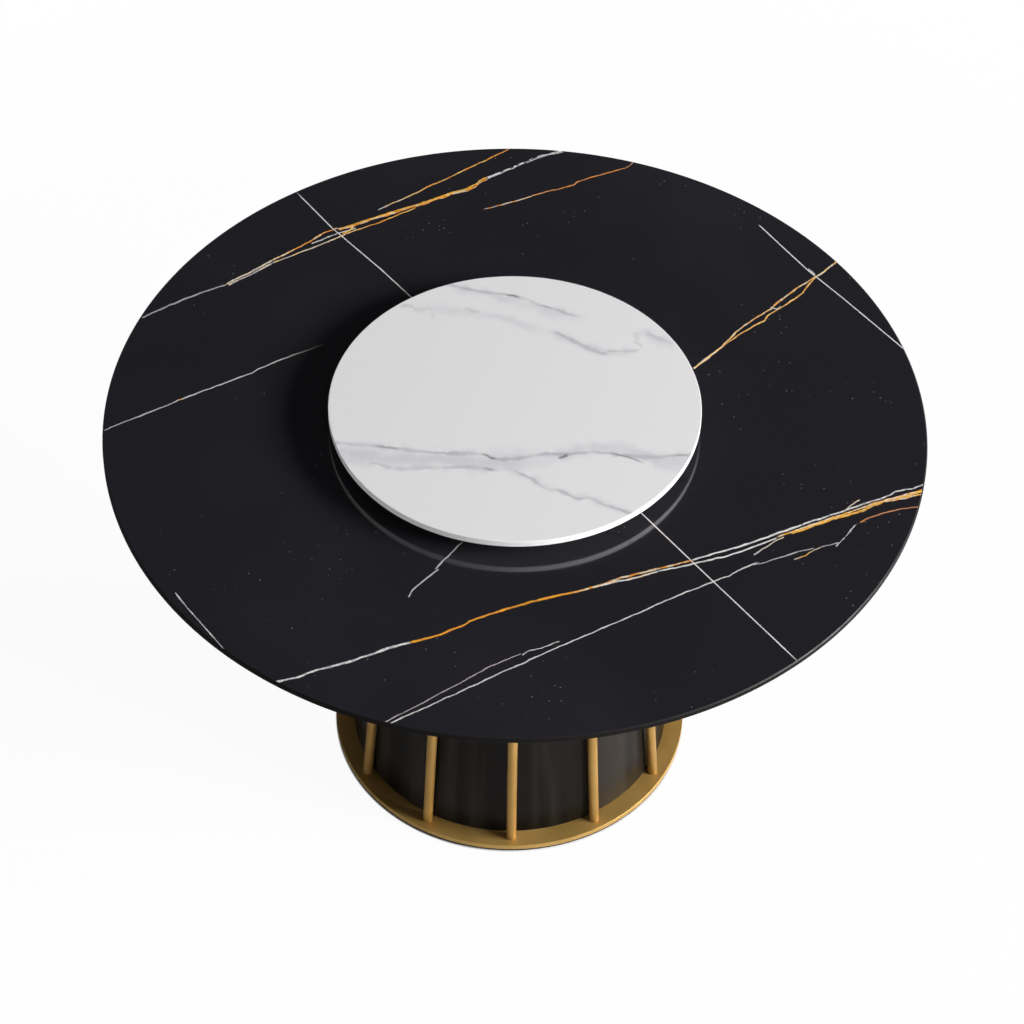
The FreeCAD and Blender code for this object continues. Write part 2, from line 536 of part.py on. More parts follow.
def lazy_susan():
    """The bearing, the rubber feet it stands on, and the stone disc on its pads."""
    bearing()
    foot_circle = OUTER_RACE_BORE + RACE_WIDTH / 2
    foot = cylinder(PAD_RADIUS, TABLE_HEIGHT, RACE_BOTTOM, (foot_circle, 0.0))
    save("susan_feet", *ring_of(foot, SUSAN_FOOT_COUNT))
    pad_circle = INNER_RACE_RADIUS - RACE_WIDTH / 2
    pad = cylinder(PAD_RADIUS, RACE_TOP, DISC_BOTTOM, (pad_circle, 0.0))
    save("disc_pads", *ring_of(pad, DISC_PAD_COUNT))
    disc = cylinder(DISC_DIAMETER / 2, DISC_BOTTOM, DISC_BOTTOM + DISC_THICKNESS)
    save("susan_disc", disc.makeFillet(DISC_ARRIS, round_edges(disc)))


def main():
    os.makedirs("parts", exist_ok=True)
    stone_top()
    insert_holes, bolt_holes = top_fasteners()
    backing_board(insert_holes)
    pedestal(bolt_holes)
    lazy_susan()


main()
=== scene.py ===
"""Round dining table with a lazy susan: the finish of every piece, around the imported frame.

Metres, +Z up, origin on the floor at the centre of the pedestal. A diner sits at -Y.
"""

import bmesh
import bpy
import math
from mathutils import Matrix, Vector


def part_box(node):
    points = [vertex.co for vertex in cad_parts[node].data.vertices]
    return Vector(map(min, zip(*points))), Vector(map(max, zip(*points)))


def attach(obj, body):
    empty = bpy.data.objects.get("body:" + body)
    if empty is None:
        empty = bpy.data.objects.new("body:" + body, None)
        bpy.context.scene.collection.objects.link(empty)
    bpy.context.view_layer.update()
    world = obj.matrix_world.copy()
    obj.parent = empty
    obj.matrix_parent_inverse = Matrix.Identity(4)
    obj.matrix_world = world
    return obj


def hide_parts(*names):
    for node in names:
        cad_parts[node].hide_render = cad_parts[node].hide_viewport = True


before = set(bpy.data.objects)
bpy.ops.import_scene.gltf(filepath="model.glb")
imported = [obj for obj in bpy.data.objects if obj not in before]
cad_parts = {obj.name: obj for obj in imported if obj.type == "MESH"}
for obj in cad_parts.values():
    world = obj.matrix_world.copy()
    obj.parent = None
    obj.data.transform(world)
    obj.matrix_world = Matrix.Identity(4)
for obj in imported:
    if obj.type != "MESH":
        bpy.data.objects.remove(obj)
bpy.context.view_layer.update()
scene = bpy.context.scene
MM = 0.001


# ---- Studio ----------------------------------------------------------------------------------------
# A plain pale floor that runs out to white, a wide soft box low on the diner's right, a weak lamp above, and
# a sky that is white at the horizon and dark overhead. What the table mirrors on its left is dimmed. The
# camera looks down from the diner's side.
LENS = 121.96
SHIFT = 0.0559
CAMERA_PLACE = (-0.0981, -3.991, 4.8164)
CAMERA_TILT = math.radians(42.971)
KEY_PLACE = Vector((12.1, -3.24, 5.5))
KEY_SIZE = (6.75, 3.75)
KEY_POWER = 3950.0
TOP_PLACE = Vector((-0.4, -0.3, 3.6))
TOP_SIZE = (2.4, 2.4)
TOP_POWER = 3.0
LAMP_AIM = Vector((0, 0, 0.7))
FLOOR_RADIUS = 40.0
FLOOR_STEPS = 96
FLOOR_PLAIN = (1.3, 2.6)        # from here to here the floor runs out to white
FLOOR_SHOWN_WHITE = 0.95        # how far it already shows white near the table
FLOOR_MIRRORED_WHITE = 0.2      # the same for what the metal mirrors
FLOOR_MIRRORED_DIM = 0.65       # how far the mirrored floor is dimmed at the left
FLOOR_DIMMED = (-0.5, 0.35)     # that dimming fades out between these places along X
SKY_DIMMED = (-0.7, 0.5)        # the same for the sky, along the X of its directions
SKY_LEFT_SHARE = 0.25           # what is left of the mirrored sky where it is dimmed most
FLOOR_CONTACT = (0.310, 0.313)  # the shadow under the table's foot ends between these radii


def colour(red, green, blue):
    """A colour as it is seen, in steps of 255, made linear."""
    def linear(step):
        share = step / 255
        return share / 12.92 if share <= 0.04045 else ((share + 0.055) / 1.055) ** 2.4
    return (linear(red), linear(green), linear(blue), 1.0)


def put(tree, kind, values=None, **settings):
    """One shader node: its settings, then each input linked to a socket or set to a value."""
    made = tree.nodes.new("ShaderNode" + kind)
    for key, value in settings.items():
        setattr(made, key, value)
    for key, value in (values or {}).items():
        if isinstance(value, bpy.types.NodeSocket):
            tree.links.new(value, made.inputs[key])
        else:
            made.inputs[key].default_value = value
    return made


def maths(tree, operation, first, second=0.0):
    return put(tree, "Math", {0: first, 1: second}, operation=operation).outputs[0]


def vectors(tree, operation, first, second=(0, 0, 0), third=(0, 0, 0)):
    return put(tree, "VectorMath", {0: first, 1: second, 2: third}, operation=operation).outputs[0]


def parted(tree, vector):
    """A vector's X, Y and Z."""
    return put(tree, "SeparateXYZ", {0: vector}).outputs


def own_place(tree):
    """Where a point lies on the table, in metres."""
    return put(tree, "TexCoord").outputs["Object"]


def grey(level):
    return (level, level, level, 1.0)


def eased(tree, value, low, high, at_low=0.0, at_high=1.0):
    """A value that goes softly from at_low to at_high as the input goes from low to high."""
    limits = {"Value": value, "From Min": low, "From Max": high, "To Min": at_low, "To Max": at_high}
    return put(tree, "MapRange", limits, interpolation_type="SMOOTHSTEP").outputs["Result"]


def mixed(tree, share, first, second):
    """Two colours mixed."""
    return put(tree, "Mix", {"Factor": share, 6: first, 7: second}, data_type="RGBA").outputs[2]


def banded(tree, value, stops):
    """A colour ramp from (place, colour) stops."""
    made = put(tree, "ValToRGB", {"Fac": value})
    elements = made.color_ramp.elements
    while len(elements) < len(stops):
        elements.new(0.5)
    for element, (place, tint) in zip(elements, stops):
        element.position = place
        element.color = tint
    return made.outputs["Color"]


def aimed_lamp(name, place, size, power):
    lamp = bpy.data.lights.new(name, "AREA")
    lamp.shape = "RECTANGLE"
    lamp.size, lamp.size_y = size
    lamp.energy = power
    made = bpy.data.objects.new(name, lamp)
    made.location = place
    made.rotation_euler = (LAMP_AIM - place).to_track_quat("-Z", "Y").to_euler()
    scene.collection.objects.link(made)


scene.view_settings.view_transform = "Standard"
camera = bpy.data.objects.new("camera", bpy.data.cameras.new("camera"))
camera.data.lens = LENS
camera.data.shift_x = SHIFT
camera.location = CAMERA_PLACE
camera.rotation_euler = (CAMERA_TILT, 0, 0)
scene.collection.objects.link(camera)
scene.camera = camera
aimed_lamp("key_lamp", KEY_PLACE, KEY_SIZE, KEY_POWER)
aimed_lamp("top_lamp", TOP_PLACE, TOP_SIZE, TOP_POWER)

world = bpy.data.worlds.new("studio")
scene.world = world
world.use_nodes = True
tree = world.node_tree
tree.nodes.clear()
toward = parted(tree, put(tree, "TexCoord").outputs["Generated"])
rise = toward["Z"]
ray = put(tree, "LightPath").outputs
sky_fill = banded(tree, rise, [(0.0, grey(3.0)), (0.12, grey(2.4)), (0.25, grey(0.12)), (1.0, grey(0.04))])
sky_gloss = banded(tree, rise, [(0.0, grey(1.0)), (0.2, grey(0.7)), (0.45, grey(0.02)), (1.0, grey(0.012))])
dim_left = eased(tree, toward["X"], *SKY_DIMMED, SKY_LEFT_SHARE, 1.0)
sky_gloss = mixed(tree, dim_left, grey(0.0), sky_gloss)
seen_sky = mixed(tree, ray["Is Glossy Ray"], sky_fill, sky_gloss)
plain = maths(tree, "MAXIMUM", ray["Is Camera Ray"], ray["Is Transmission Ray"])
seen_sky = mixed(tree, plain, seen_sky, grey(1.0))
background = put(tree, "Background", {"Color": seen_sky})
tree.links.new(background.outputs[0], put(tree, "OutputWorld").inputs["Surface"])

bm = bmesh.new()
bmesh.ops.create_circle(bm, cap_ends=True, radius=FLOOR_RADIUS, segments=FLOOR_STEPS)
floor_mesh = bpy.data.meshes.new("floor")
bm.to_mesh(floor_mesh)
bm.free()
floor = bpy.data.objects.new("floor", floor_mesh)
scene.collection.objects.link(floor)
floor_finish = bpy.data.materials.new("pale_floor")
floor_finish.use_nodes = True
tree = floor_finish.node_tree
tree.nodes.clear()
place = own_place(tree)
away = put(tree, "VectorMath", {0: place}, operation="LENGTH").outputs["Value"]
far = eased(tree, away, *FLOOR_PLAIN)
ray = put(tree, "LightPath").outputs
seen = maths(tree, "MAXIMUM", ray["Is Camera Ray"], ray["Is Transmission Ray"])
seen = maths(tree, "MULTIPLY", seen, eased(tree, far, 0.0, 1.0, FLOOR_SHOWN_WHITE, 1.0))
seen = maths(tree, "MULTIPLY", seen, eased(tree, away, *FLOOR_CONTACT))
mirrored = eased(tree, far, 0.0, 1.0, FLOOR_MIRRORED_WHITE, 1.0)
mirrored = maths(tree, "MULTIPLY", ray["Is Glossy Ray"], mirrored)
share = maths(tree, "MAXIMUM", seen, mirrored)
pale = put(tree, "BsdfDiffuse", {"Color": colour(236, 236, 236)}).outputs[0]
white = put(tree, "Emission", {"Strength": 1.0}).outputs[0]
shown = put(tree, "MixShader", {0: share, 1: pale, 2: white}).outputs[0]
dimmed = eased(tree, parted(tree, place)["X"], *FLOOR_DIMMED, FLOOR_MIRRORED_DIM, 0.0)
dimmed = maths(tree, "MULTIPLY", dimmed, ray["Is Glossy Ray"])
black = put(tree, "Emission", {"Strength": 0.0}).outputs[0]
shown = put(tree, "MixShader", {0: dimmed, 1: shown, 2: black}).outputs[0]
tree.links.new(shown, put(tree, "OutputMaterial").inputs["Surface"])
floor.data.materials.append(floor_finish)


# ---- Stone top -------------------------------------------------------------------------------------
# A round slab of black sintered stone, 12 mm thick, cut and polished, with a narrow chamfer round both
# arrises. Thin white veins and a few gold ones run through its face. It is bonded to the board below.
SLAB_CHAMFER = 2 * MM
SLAB_ARRIS = 0.25 * MM
ROUND_STEPS = 360
SHARP = math.radians(35)
WELD = 0.002 * MM               # points of a turned shape that are closer than this are one
LEVEL = 0.01 * MM               # a hoop's edge rises or opens less than this
ON_CORNER = 0.02 * MM           # a point this close to an outline's corner lies on it
CHAMFER_SLOPE = 0.9             # a face whose normal rises or falls less than this is a chamfer
SIDE_SLOPE = 0.3                # and one below this is upright
SHARP_VEIN = 0.3                # a vein whose core is more than this turns sharply
BLACK_STONE = colour(33, 32, 37)
BLACK_STONE_CLOUD = colour(38, 37, 42)
WHITE_VEIN = colour(236, 233, 231)
GREY_VEIN = colour(186, 184, 186)
DIM_VEIN = colour(92, 90, 91)
ROSE_VEIN = colour(196, 184, 186)
PALE_VEIN = colour(247, 226, 196)
HONEY_VEIN = colour(255, 208, 124)
GOLD_VEIN = colour(250, 176, 52)
ORANGE_VEIN = colour(244, 158, 62)
COPPER_VEIN = colour(206, 142, 100)
PEACH_VEIN = colour(238, 174, 100)


def turned(outline, steps, closed=False):
    """A shape turned about the Z axis from (radius, height) corners. A closed outline makes a ring."""
    bm = bmesh.new()
    corners = [bm.verts.new((radius, 0, height)) for radius, height in outline]
    pairs = list(zip(corners, corners[1:]))
    if closed:
        pairs.append((corners[-1], corners[0]))
    edges = [bm.edges.new(pair) for pair in pairs]
    bmesh.ops.spin(bm, geom=corners + edges, cent=(0, 0, 0), axis=(0, 0, 1), angle=2 * math.pi,
                   steps=steps, use_merge=True)
    bmesh.ops.remove_doubles(bm, verts=bm.verts, dist=WELD)
    bmesh.ops.recalc_face_normals(bm, faces=bm.faces)
    return bm


def soften(bm, corners, width, steps):
    """Rounds the hoops of a turned shape that run through these (radius, height) corners."""
    def on_corner(vertex):
        radius = math.hypot(vertex.co.x, vertex.co.y)
        return any(math.hypot(radius - r, vertex.co.z - h) < ON_CORNER for r, h in corners)
    hoops = [e for e in bm.edges if all(on_corner(v) for v in e.verts)
             and abs(e.verts[0].co.z - e.verts[1].co.z) < LEVEL
             and abs(e.verts[0].co.xy.length - e.verts[1].co.xy.length) < LEVEL]
    bmesh.ops.bevel(bm, geom=hoops, offset=width, offset_type="OFFSET", affect="EDGES",
                    segments=steps, profile=0.5, material=-1)


def piece(name, bm, finish, body, slot, *nodes, chamfer=None, side=None):
    """The finished piece: round faces smooth, flat faces flat, riding on its body for its CAD nodes. Its
    chamfers and upright faces may have finishes of their own."""
    mesh = bpy.data.meshes.new(name)
    bm.to_mesh(mesh)
    bm.free()
    mesh.materials.append(finish)
    if chamfer:
        mesh.materials.append(chamfer)
        mesh.materials.append(side)
        for face in mesh.polygons:
            face.material_index = sum(abs(face.normal.z) < limit for limit in (CHAMFER_SLOPE, SIDE_SLOPE))
    mesh.shade_smooth()
    mesh.set_sharp_from_angle(angle=SHARP)
    made = bpy.data.objects.new(name, mesh)
    scene.collection.objects.link(made)
    flat = made.modifiers.new("flat_faces", "WEIGHTED_NORMAL")
    flat.keep_sharp = True
    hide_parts(*nodes)
    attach(made, body)


def new_finish(name, **plain):
    """A material with its Principled shader, whose plain values are set on its own sockets."""
    made = bpy.data.materials.new(name)
    made.use_nodes = True
    shader = made.node_tree.nodes["Principled BSDF"]
    for key, value in plain.items():
        shader.inputs[key.replace("_", " ")].default_value = value
    return made, made.node_tree, shader.inputs


def new_group(name, inputs, outputs):
    """An empty shader group: its tree, the values that come in and the sockets that go out."""
    made = bpy.data.node_groups.new(name, "ShaderNodeTree")
    for socket, kind in inputs.items():
        made.interface.new_socket(socket, in_out="INPUT", socket_type="NodeSocket" + kind)
    for socket, kind in outputs.items():
        made.interface.new_socket(socket, in_out="OUTPUT", socket_type="NodeSocket" + kind)
    return made, made.nodes.new("NodeGroupInput").outputs, made.nodes.new("NodeGroupOutput").inputs


def use_group(tree, group, values):
    return put(tree, "Group", values, node_tree=group).outputs


def noise(tree, place, scale, detail=3.0):
    return put(tree, "TexNoise", {"Vector": place, "Scale": scale, "Detail": detail}).outputs[0]


def bumpy(tree, height, strength, distance):
    """The surface's direction where it has small bumps."""
    return put(tree, "Bump", {"Strength": strength, "Distance": distance, "Height": height}).outputs[0]


# Where a point lies along a vein, as a share of its length, and how far to its side.
vein_run, given, out = new_group(
    "vein_run", {"Place": "Vector", "Start": "Vector", "Turn": "Float", "Length": "Float"},
    {"Along": "Float", "Aside": "Float"})
from_start = vectors(vein_run, "SUBTRACT", given["Place"], given["Start"])
turn = maths(vein_run, "MULTIPLY", given["Turn"], -1.0)
level = put(vein_run, "VectorRotate", {"Vector": from_start, "Angle": turn}, rotation_type="Z_AXIS")
level = parted(vein_run, level.outputs[0])
vein_run.links.new(maths(vein_run, "DIVIDE", level["X"], given["Length"]), out["Along"])
vein_run.links.new(level["Y"], out["Aside"])

# The vein itself: a thin line, sharp where Core is near 1 and soft where it is 0, and the flecks along it.
vein_line, given, out = new_group(
    "vein_line", {"Place": "Vector", "Along": "Float", "Aside": "Float", "Bend": "Float", "Reach": "Float",
                  "Width": "Float", "Strength": "Float", "Unevenness": "Float", "Core": "Float",
                  "Taper": "Float"},
    {"Line": "Float", "Fleck": "Float"})
bend = maths(vein_line, "MULTIPLY", maths(vein_line, "SUBTRACT", given["Bend"], 0.5), given["Reach"])
aside = maths(vein_line, "ABSOLUTE", maths(vein_line, "SUBTRACT", given["Aside"], bend))
swell = eased(vein_line, noise(vein_line, given["Place"], 55.0), 0.35, 0.65, -0.65, 0.25)
swell = maths(vein_line, "ADD", maths(vein_line, "MULTIPLY", swell, given["Unevenness"]), 1.0)
half = maths(vein_line, "MULTIPLY", swell, maths(vein_line, "MULTIPLY", given["Width"], 0.5))
core = eased(vein_line, aside, maths(vein_line, "MULTIPLY", half, given["Core"]),
             maths(vein_line, "MULTIPLY", half, 1.2), 1.0, 0.0)
from_middle = maths(vein_line, "ABSOLUTE", maths(vein_line, "SUBTRACT", given["Along"], 0.5))
ends = eased(vein_line, maths(vein_line, "SUBTRACT", 0.5, from_middle), -0.005, given["Taper"])
fade = eased(vein_line, noise(vein_line, given["Place"], 28.0, 5.0), 0.34, 0.6, -0.7, 0.0)
fade = maths(vein_line, "ADD", maths(vein_line, "MULTIPLY", fade, given["Unevenness"]), 1.0)
strength = maths(vein_line, "MULTIPLY", maths(vein_line, "MULTIPLY", fade, ends), given["Strength"])
vein_line.links.new(maths(vein_line, "MULTIPLY", core, strength), out["Line"])
vein_line.links.new(eased(vein_line, noise(vein_line, given["Place"], 115.0), 0.47, 0.58), out["Fleck"])

# Small bright grains, one here and there.
grains, given, out = new_group(
    "grains", {"Place": "Vector", "Spacing": "Float", "Size": "Float", "Share": "Float"}, {"Mask": "Float"})
per_metre = maths(grains, "DIVIDE", 1.0, given["Spacing"])
cells = put(grains, "TexVoronoi", {"Vector": given["Place"], "Scale": per_metre})
size = maths(grains, "DIVIDE", given["Size"], given["Spacing"])
dot = eased(grains, cells.outputs["Distance"], maths(grains, "MULTIPLY", size, 0.4), size, 1.0, 0.0)
chance = put(grains, "SeparateColor", {0: cells.outputs["Color"]}).outputs["Red"]
kept = maths(grains, "LESS_THAN", chance, given["Share"])
grains.links.new(maths(grains, "MULTIPLY", dot, kept), out["Mask"])


def wandering(tree, place, amount, scale, phase=0.0):
    """The place, moved about by noise, so that a line drawn there wanders."""
    start = vectors(tree, "ADD", place, (phase, phase, 0))
    drift = put(tree, "TexNoise", {"Vector": start, "Scale": scale, "Detail": 4.0}).outputs["Color"]
    drift = vectors(tree, "SUBTRACT", drift, (0.5, 0.5, 0.5))
    return vectors(tree, "MULTIPLY_ADD", drift, (amount, amount, 0), place)


def vein(tree, place, ground, points, width, tints, flecks=None, strength=1.0, unevenness=0.35, core=0.55,
         taper=0.015):
    """One vein through (x, y) points in millimetres, its width in millimetres, laid over the ground colour.
    A sharp vein turns sharply at its points too."""
    points = [Vector(point) * MM for point in points]
    run = points[-1] - points[0]
    along = run.normalized()
    aside = Vector((-along.y, along.x))
    bends = [(point - points[0]).dot(aside) for point in points]
    reach = 2 * max(abs(bend) for bend in bends) + MM
    at = use_group(tree, vein_run, {"Place": place, "Start": (*points[0], 0), "Length": run.length,
                                    "Turn": math.atan2(run.y, run.x)})
    curve = put(tree, "FloatCurve", {"Value": at["Along"]})
    dots = curve.mapping.curves[0].points
    for point, bend in list(zip(points, bends))[1:-1]:
        dots.new((point - points[0]).dot(along) / run.length, 0.5 + bend / reach)
    dots[0].location = (0, 0.5)
    dots[-1].location = (1, 0.5)
    if core > SHARP_VEIN:
        for dot in dots:
            dot.handle_type = "VECTOR"
    curve.mapping.update()
    masks = use_group(tree, vein_line, {
        "Place": place, "Along": at["Along"], "Aside": at["Aside"], "Bend": curve.outputs[0], "Reach": reach,
        "Width": width * MM, "Strength": strength, "Unevenness": unevenness, "Core": core, "Taper": taper})
    tint = banded(tree, at["Along"], tints) if isinstance(tints, list) else tints
    if flecks:
        tint = mixed(tree, masks["Fleck"], tint, flecks)
    return mixed(tree, masks["Line"], ground, tint)


black_stone, tree, shader = new_finish("black_stone_gold_veins", Specular_IOR_Level=0.8, IOR=1.6)
flat_place = own_place(tree)
place = wandering(tree, flat_place, 5 * MM, 50.0)
woven = wandering(tree, flat_place, 10 * MM, 36.0, 3.0)
cloud = eased(tree, noise(tree, flat_place, 2.2, 5.0), 0.4, 0.72)
ground = mixed(tree, cloud, BLACK_STONE, BLACK_STONE_CLOUD)

# Old cracks, filled straight and even.
for points, width, strength, unevenness in (
        ([(-374, 556), (-310, 464), (-225, 361), (-175, 295), (199, -208), (275, -312), (430, -522)],
         2.3, 1.0, 0.2),
        ([(429, 473), (473, 407), (506, 358), (559, 291), (656, 162)], 2.3, 1.0, 0.2),
        ([(506, 361), (512, 354), (517, 347)], 5.0, 0.6, 0.5),
        ([(-536, -380), (-516, -411), (-492, -444), (-462, -486), (-439, -520)], 2.2, 1.0, 0.7),
        ([(-593, -330), (-584, -342), (-566, -367)], 2.0, 0.5, 1.0)):
    ground = vein(tree, flat_place, ground, points, width, WHITE_VEIN, None, strength, unevenness)

# The band across the far left: grey, then two pale threads, then gold and orange ones that part and cross,
# and at last white. Thin orange veins lie on either side of it.
for path, points, width, tints, flecks in (
        (place, [(-626, 241), (-569, 279), (-511, 312), (-488, 322)], 3.6, GREY_VEIN, None),
        (place, [(-488, 323), (-453, 349), (-411, 383)], 3.8, PALE_VEIN, GREY_VEIN),
        (place, [(-484, 321), (-448, 346), (-411, 376)], 3.6, GREY_VEIN, PALE_VEIN),
        (place, [(-411, 376), (-321, 427), (-287, 449), (-268, 460), (-227, 480), (-165, 518)], 3.2,
         [(0.0, GREY_VEIN), (0.45, PALE_VEIN), (0.7, ORANGE_VEIN), (1.0, ORANGE_VEIN)], HONEY_VEIN),
        (place, [(-345, 425), (-299, 452), (-269, 464)], 3.0, WHITE_VEIN, GREY_VEIN),
        (place, [(-411, 383), (-349, 429), (-329, 449), (-303, 464), (-293, 460)], 3.6,
         ORANGE_VEIN, PALE_VEIN),
        (place, [(-292, 450), (-279, 459), (-274, 468)], 4.0, GOLD_VEIN, HONEY_VEIN),
        (woven, [(-300, 458), (-227, 493), (-139, 533), (-104, 553), (-78, 562), (-62, 573), (-51, 587),
                 (-41, 593)], 4.2, ORANGE_VEIN, PALE_VEIN),
        (place, [(-300, 461), (-227, 496), (-139, 536), (-104, 556), (-78, 565), (-62, 578), (-51, 591),
                 (-41, 597)], 4.4, GOLD_VEIN, HONEY_VEIN),
        (woven, [(-41, 594), (-14, 609), (18, 630), (54, 651), (93, 666)], 4.0, GREY_VEIN, WHITE_VEIN),
        (place, [(-41, 596), (-14, 611), (18, 632), (54, 653), (93, 668)], 4.2, WHITE_VEIN, DIM_VEIN),
        (place, [(-232, 511), (-210, 527), (-179, 546), (-146, 571), (-113, 592), (-78, 618), (-1, 672)], 3.0,
         [(0.0, WHITE_VEIN), (0.15, PALE_VEIN), (0.4, ORANGE_VEIN), (1.0, ORANGE_VEIN)], HONEY_VEIN),
        (place, [(-48, 513), (8, 534), (61, 559), (96, 570), (110, 577), (117, 585), (141, 596), (190, 616),
                 (210, 627), (218, 639)], 3.0,
         [(0.0, GREY_VEIN), (0.25, PALE_VEIN), (0.4, COPPER_VEIN), (0.97, COPPER_VEIN), (1.0, WHITE_VEIN)],
         ORANGE_VEIN)):
    ground = vein(tree, path, ground, points, width, tints, flecks)

# A thin white vein at the left, gone at its inner end.
ground = vein(tree, place, ground, [(-673, -25), (-615, 8), (-545, 49), (-488, 80), (-435, 109), (-422, 119),
                                    (-388, 140), (-315, 178)], 2.8,
              [(0.0, GREY_VEIN), (0.33, WHITE_VEIN), (0.345, GOLD_VEIN), (0.36, WHITE_VEIN),
               (0.8, WHITE_VEIN), (1.0, BLACK_STONE)], None, 0.85)

# Two gold threads at the right that part, meet and part again, and run out to the rim as one.
for points, width, tints, flecks in (
        ([(299, 119), (347, 169), (376, 207), (396, 227), (413, 242), (438, 263), (446, 274), (480, 309),
          (495, 322), (520, 342)], 3.4,
         [(0.0, PALE_VEIN), (0.3, HONEY_VEIN), (0.5, PEACH_VEIN), (1.0, PEACH_VEIN)], PALE_VEIN),
        ([(299, 119), (324, 143), (349, 171)], 4.4, PALE_VEIN, HONEY_VEIN),
        ([(347, 168), (374, 195), (407, 222), (424, 233), (431, 246), (468, 277), (495, 304), (501, 316),
          (520, 342)], 3.2, PEACH_VEIN, HONEY_VEIN),
        ([(437, 266), (447, 261), (454, 269)], 3.0, WHITE_VEIN, GREY_VEIN),
        ([(520, 342), (531, 352), (559, 382)], 3.8, PALE_VEIN, HONEY_VEIN)):
    ground = vein(tree, place, ground, points, width, tints, flecks)

# The band across the near side: a white vein that turns gold at once, pales, and parts into white and gold
# threads that run side by side to the rim.
for path, points, width, tints, flecks in (
        (place, [(-376, -565), (-338, -553), (-317, -542), (-259, -522), (-198, -494), (-167, -484)], 4.6,
         WHITE_VEIN, GREY_VEIN),
        (place, [(-168, -484), (-127, -470), (-105, -458), (-82, -447), (-75, -439), (-30, -419), (20, -400),
                 (60, -387), (99, -376)], 4.4,
         [(0.0, GOLD_VEIN), (0.15, ORANGE_VEIN), (1.0, ORANGE_VEIN)], GOLD_VEIN),
        (place, [(90, -379), (140, -361), (163, -349), (222, -330)], 4.4, PALE_VEIN, ORANGE_VEIN),
        (woven, [(131, -366), (194, -345), (222, -335)], 3.6, WHITE_VEIN, PALE_VEIN),
        (place, [(222, -330), (259, -317), (276, -312)], 3.6, ORANGE_VEIN, PALE_VEIN),
        (place, [(276, -312), (312, -298), (359, -280), (383, -269), (421, -251), (455, -236)], 4.0,
         WHITE_VEIN, None),
        (place, [(222, -335), (258, -325), (295, -314), (330, -304), (355, -293), (388, -277), (414, -264)],
         3.4, WHITE_VEIN, None),
        (woven, [(437, -254), (488, -230), (521, -217), (555, -205), (572, -193), (592, -182), (624, -174),
                 (659, -161)], 5.4, GOLD_VEIN, HONEY_VEIN),
        (place, [(414, -262), (459, -241), (521, -213), (579, -187), (624, -171), (659, -157)], 3.4,
         PALE_VEIN, GOLD_VEIN),
        (place, [(455, -236), (488, -221), (556, -191), (588, -178), (602, -170), (610, -163), (638, -156),
                 (662, -145)], 3.4, WHITE_VEIN, GREY_VEIN),
        (place, [(592, -185), (623, -178), (657, -167)], 3.0, PALE_VEIN, GOLD_VEIN),
        (place, [(523, -207), (539, -191), (552, -181)], 2.4, [(0.0, GREY_VEIN), (1.0, PALE_VEIN)], None),
        (place, [(375, -300), (387, -289), (412, -270), (425, -262)], 2.6,
         [(0.0, GREY_VEIN), (1.0, PALE_VEIN)], None)):
    ground = vein(tree, path, ground, points, width, tints, flecks)

# Thin white and rose veins below that band, with twigs of gold.
for points, width, tints, strength, unevenness in (
        ([(-209, -646), (-184, -629), (-161, -614), (-141, -600), (-86, -562), (-43, -531), (-23, -520),
          (5, -506)], 2.3, ROSE_VEIN, 0.95, 0.4),
        ([(6, -509), (16, -500), (36, -495), (56, -483), (64, -481)], 2.6, WHITE_VEIN, 0.9, 0.6),
        ([(-202, -648), (-150, -618), (-120, -600), (-63, -566), (-28, -545), (65, -491), (192, -420),
          (235, -395), (309, -356), (333, -345), (353, -330), (382, -316)], 2.6, WHITE_VEIN, 0.9, 0.3),
        ([(372, -322), (388, -318), (417, -306), (440, -295), (471, -285)], 2.6, GREY_VEIN, 0.95, 0.4),
        ([(438, -311), (456, -302), (471, -289), (490, -281), (512, -274)], 2.6,
         [(0.0, GREY_VEIN), (0.25, GOLD_VEIN), (0.5, PALE_VEIN), (0.65, GREY_VEIN), (1.0, GREY_VEIN)],
         0.9, 0.4),
        ([(506, -282), (522, -263), (533, -244), (540, -236), (550, -229)], 2.4, WHITE_VEIN, 0.8, 1.3),
        ([(549, -230), (562, -221), (590, -209), (612, -202), (649, -195)], 2.8, COPPER_VEIN, 1.0, 0.3),
        ([(549, -230), (558, -228)], 2.4, ORANGE_VEIN, 0.8, 0.3),
        ([(-86, -272), (-94, -281), (-100, -292), (-116, -312), (-129, -330)], 2.6, WHITE_VEIN, 0.8, 0.3),
        ([(-124, -331), (-136, -343), (-155, -364), (-165, -377), (-171, -390)], 2.6, WHITE_VEIN, 0.8, 0.3)):
    ground = vein(tree, place, ground, points, width, tints, None, strength, unevenness)

grain = use_group(tree, grains, {"Place": flat_place, "Spacing": 9 * MM, "Size": 1.6 * MM, "Share": 0.2})
patch = eased(tree, noise(tree, flat_place, 7.0, 2.0), 0.5, 0.64)
specks = maths(tree, "MULTIPLY", maths(tree, "MULTIPLY", grain["Mask"], patch), 0.3)
ground = mixed(tree, specks, ground, GREY_VEIN)
tree.links.new(ground, shader["Base Color"])
tree.links.new(eased(tree, noise(tree, flat_place, 9.0, 6.0), 0.3, 0.75, 0.07, 0.13), shader["Roughness"])
tree.links.new(bumpy(tree, noise(tree, flat_place, 1400.0, 2.0), 0.12, 0.05 * MM), shader["Normal"])


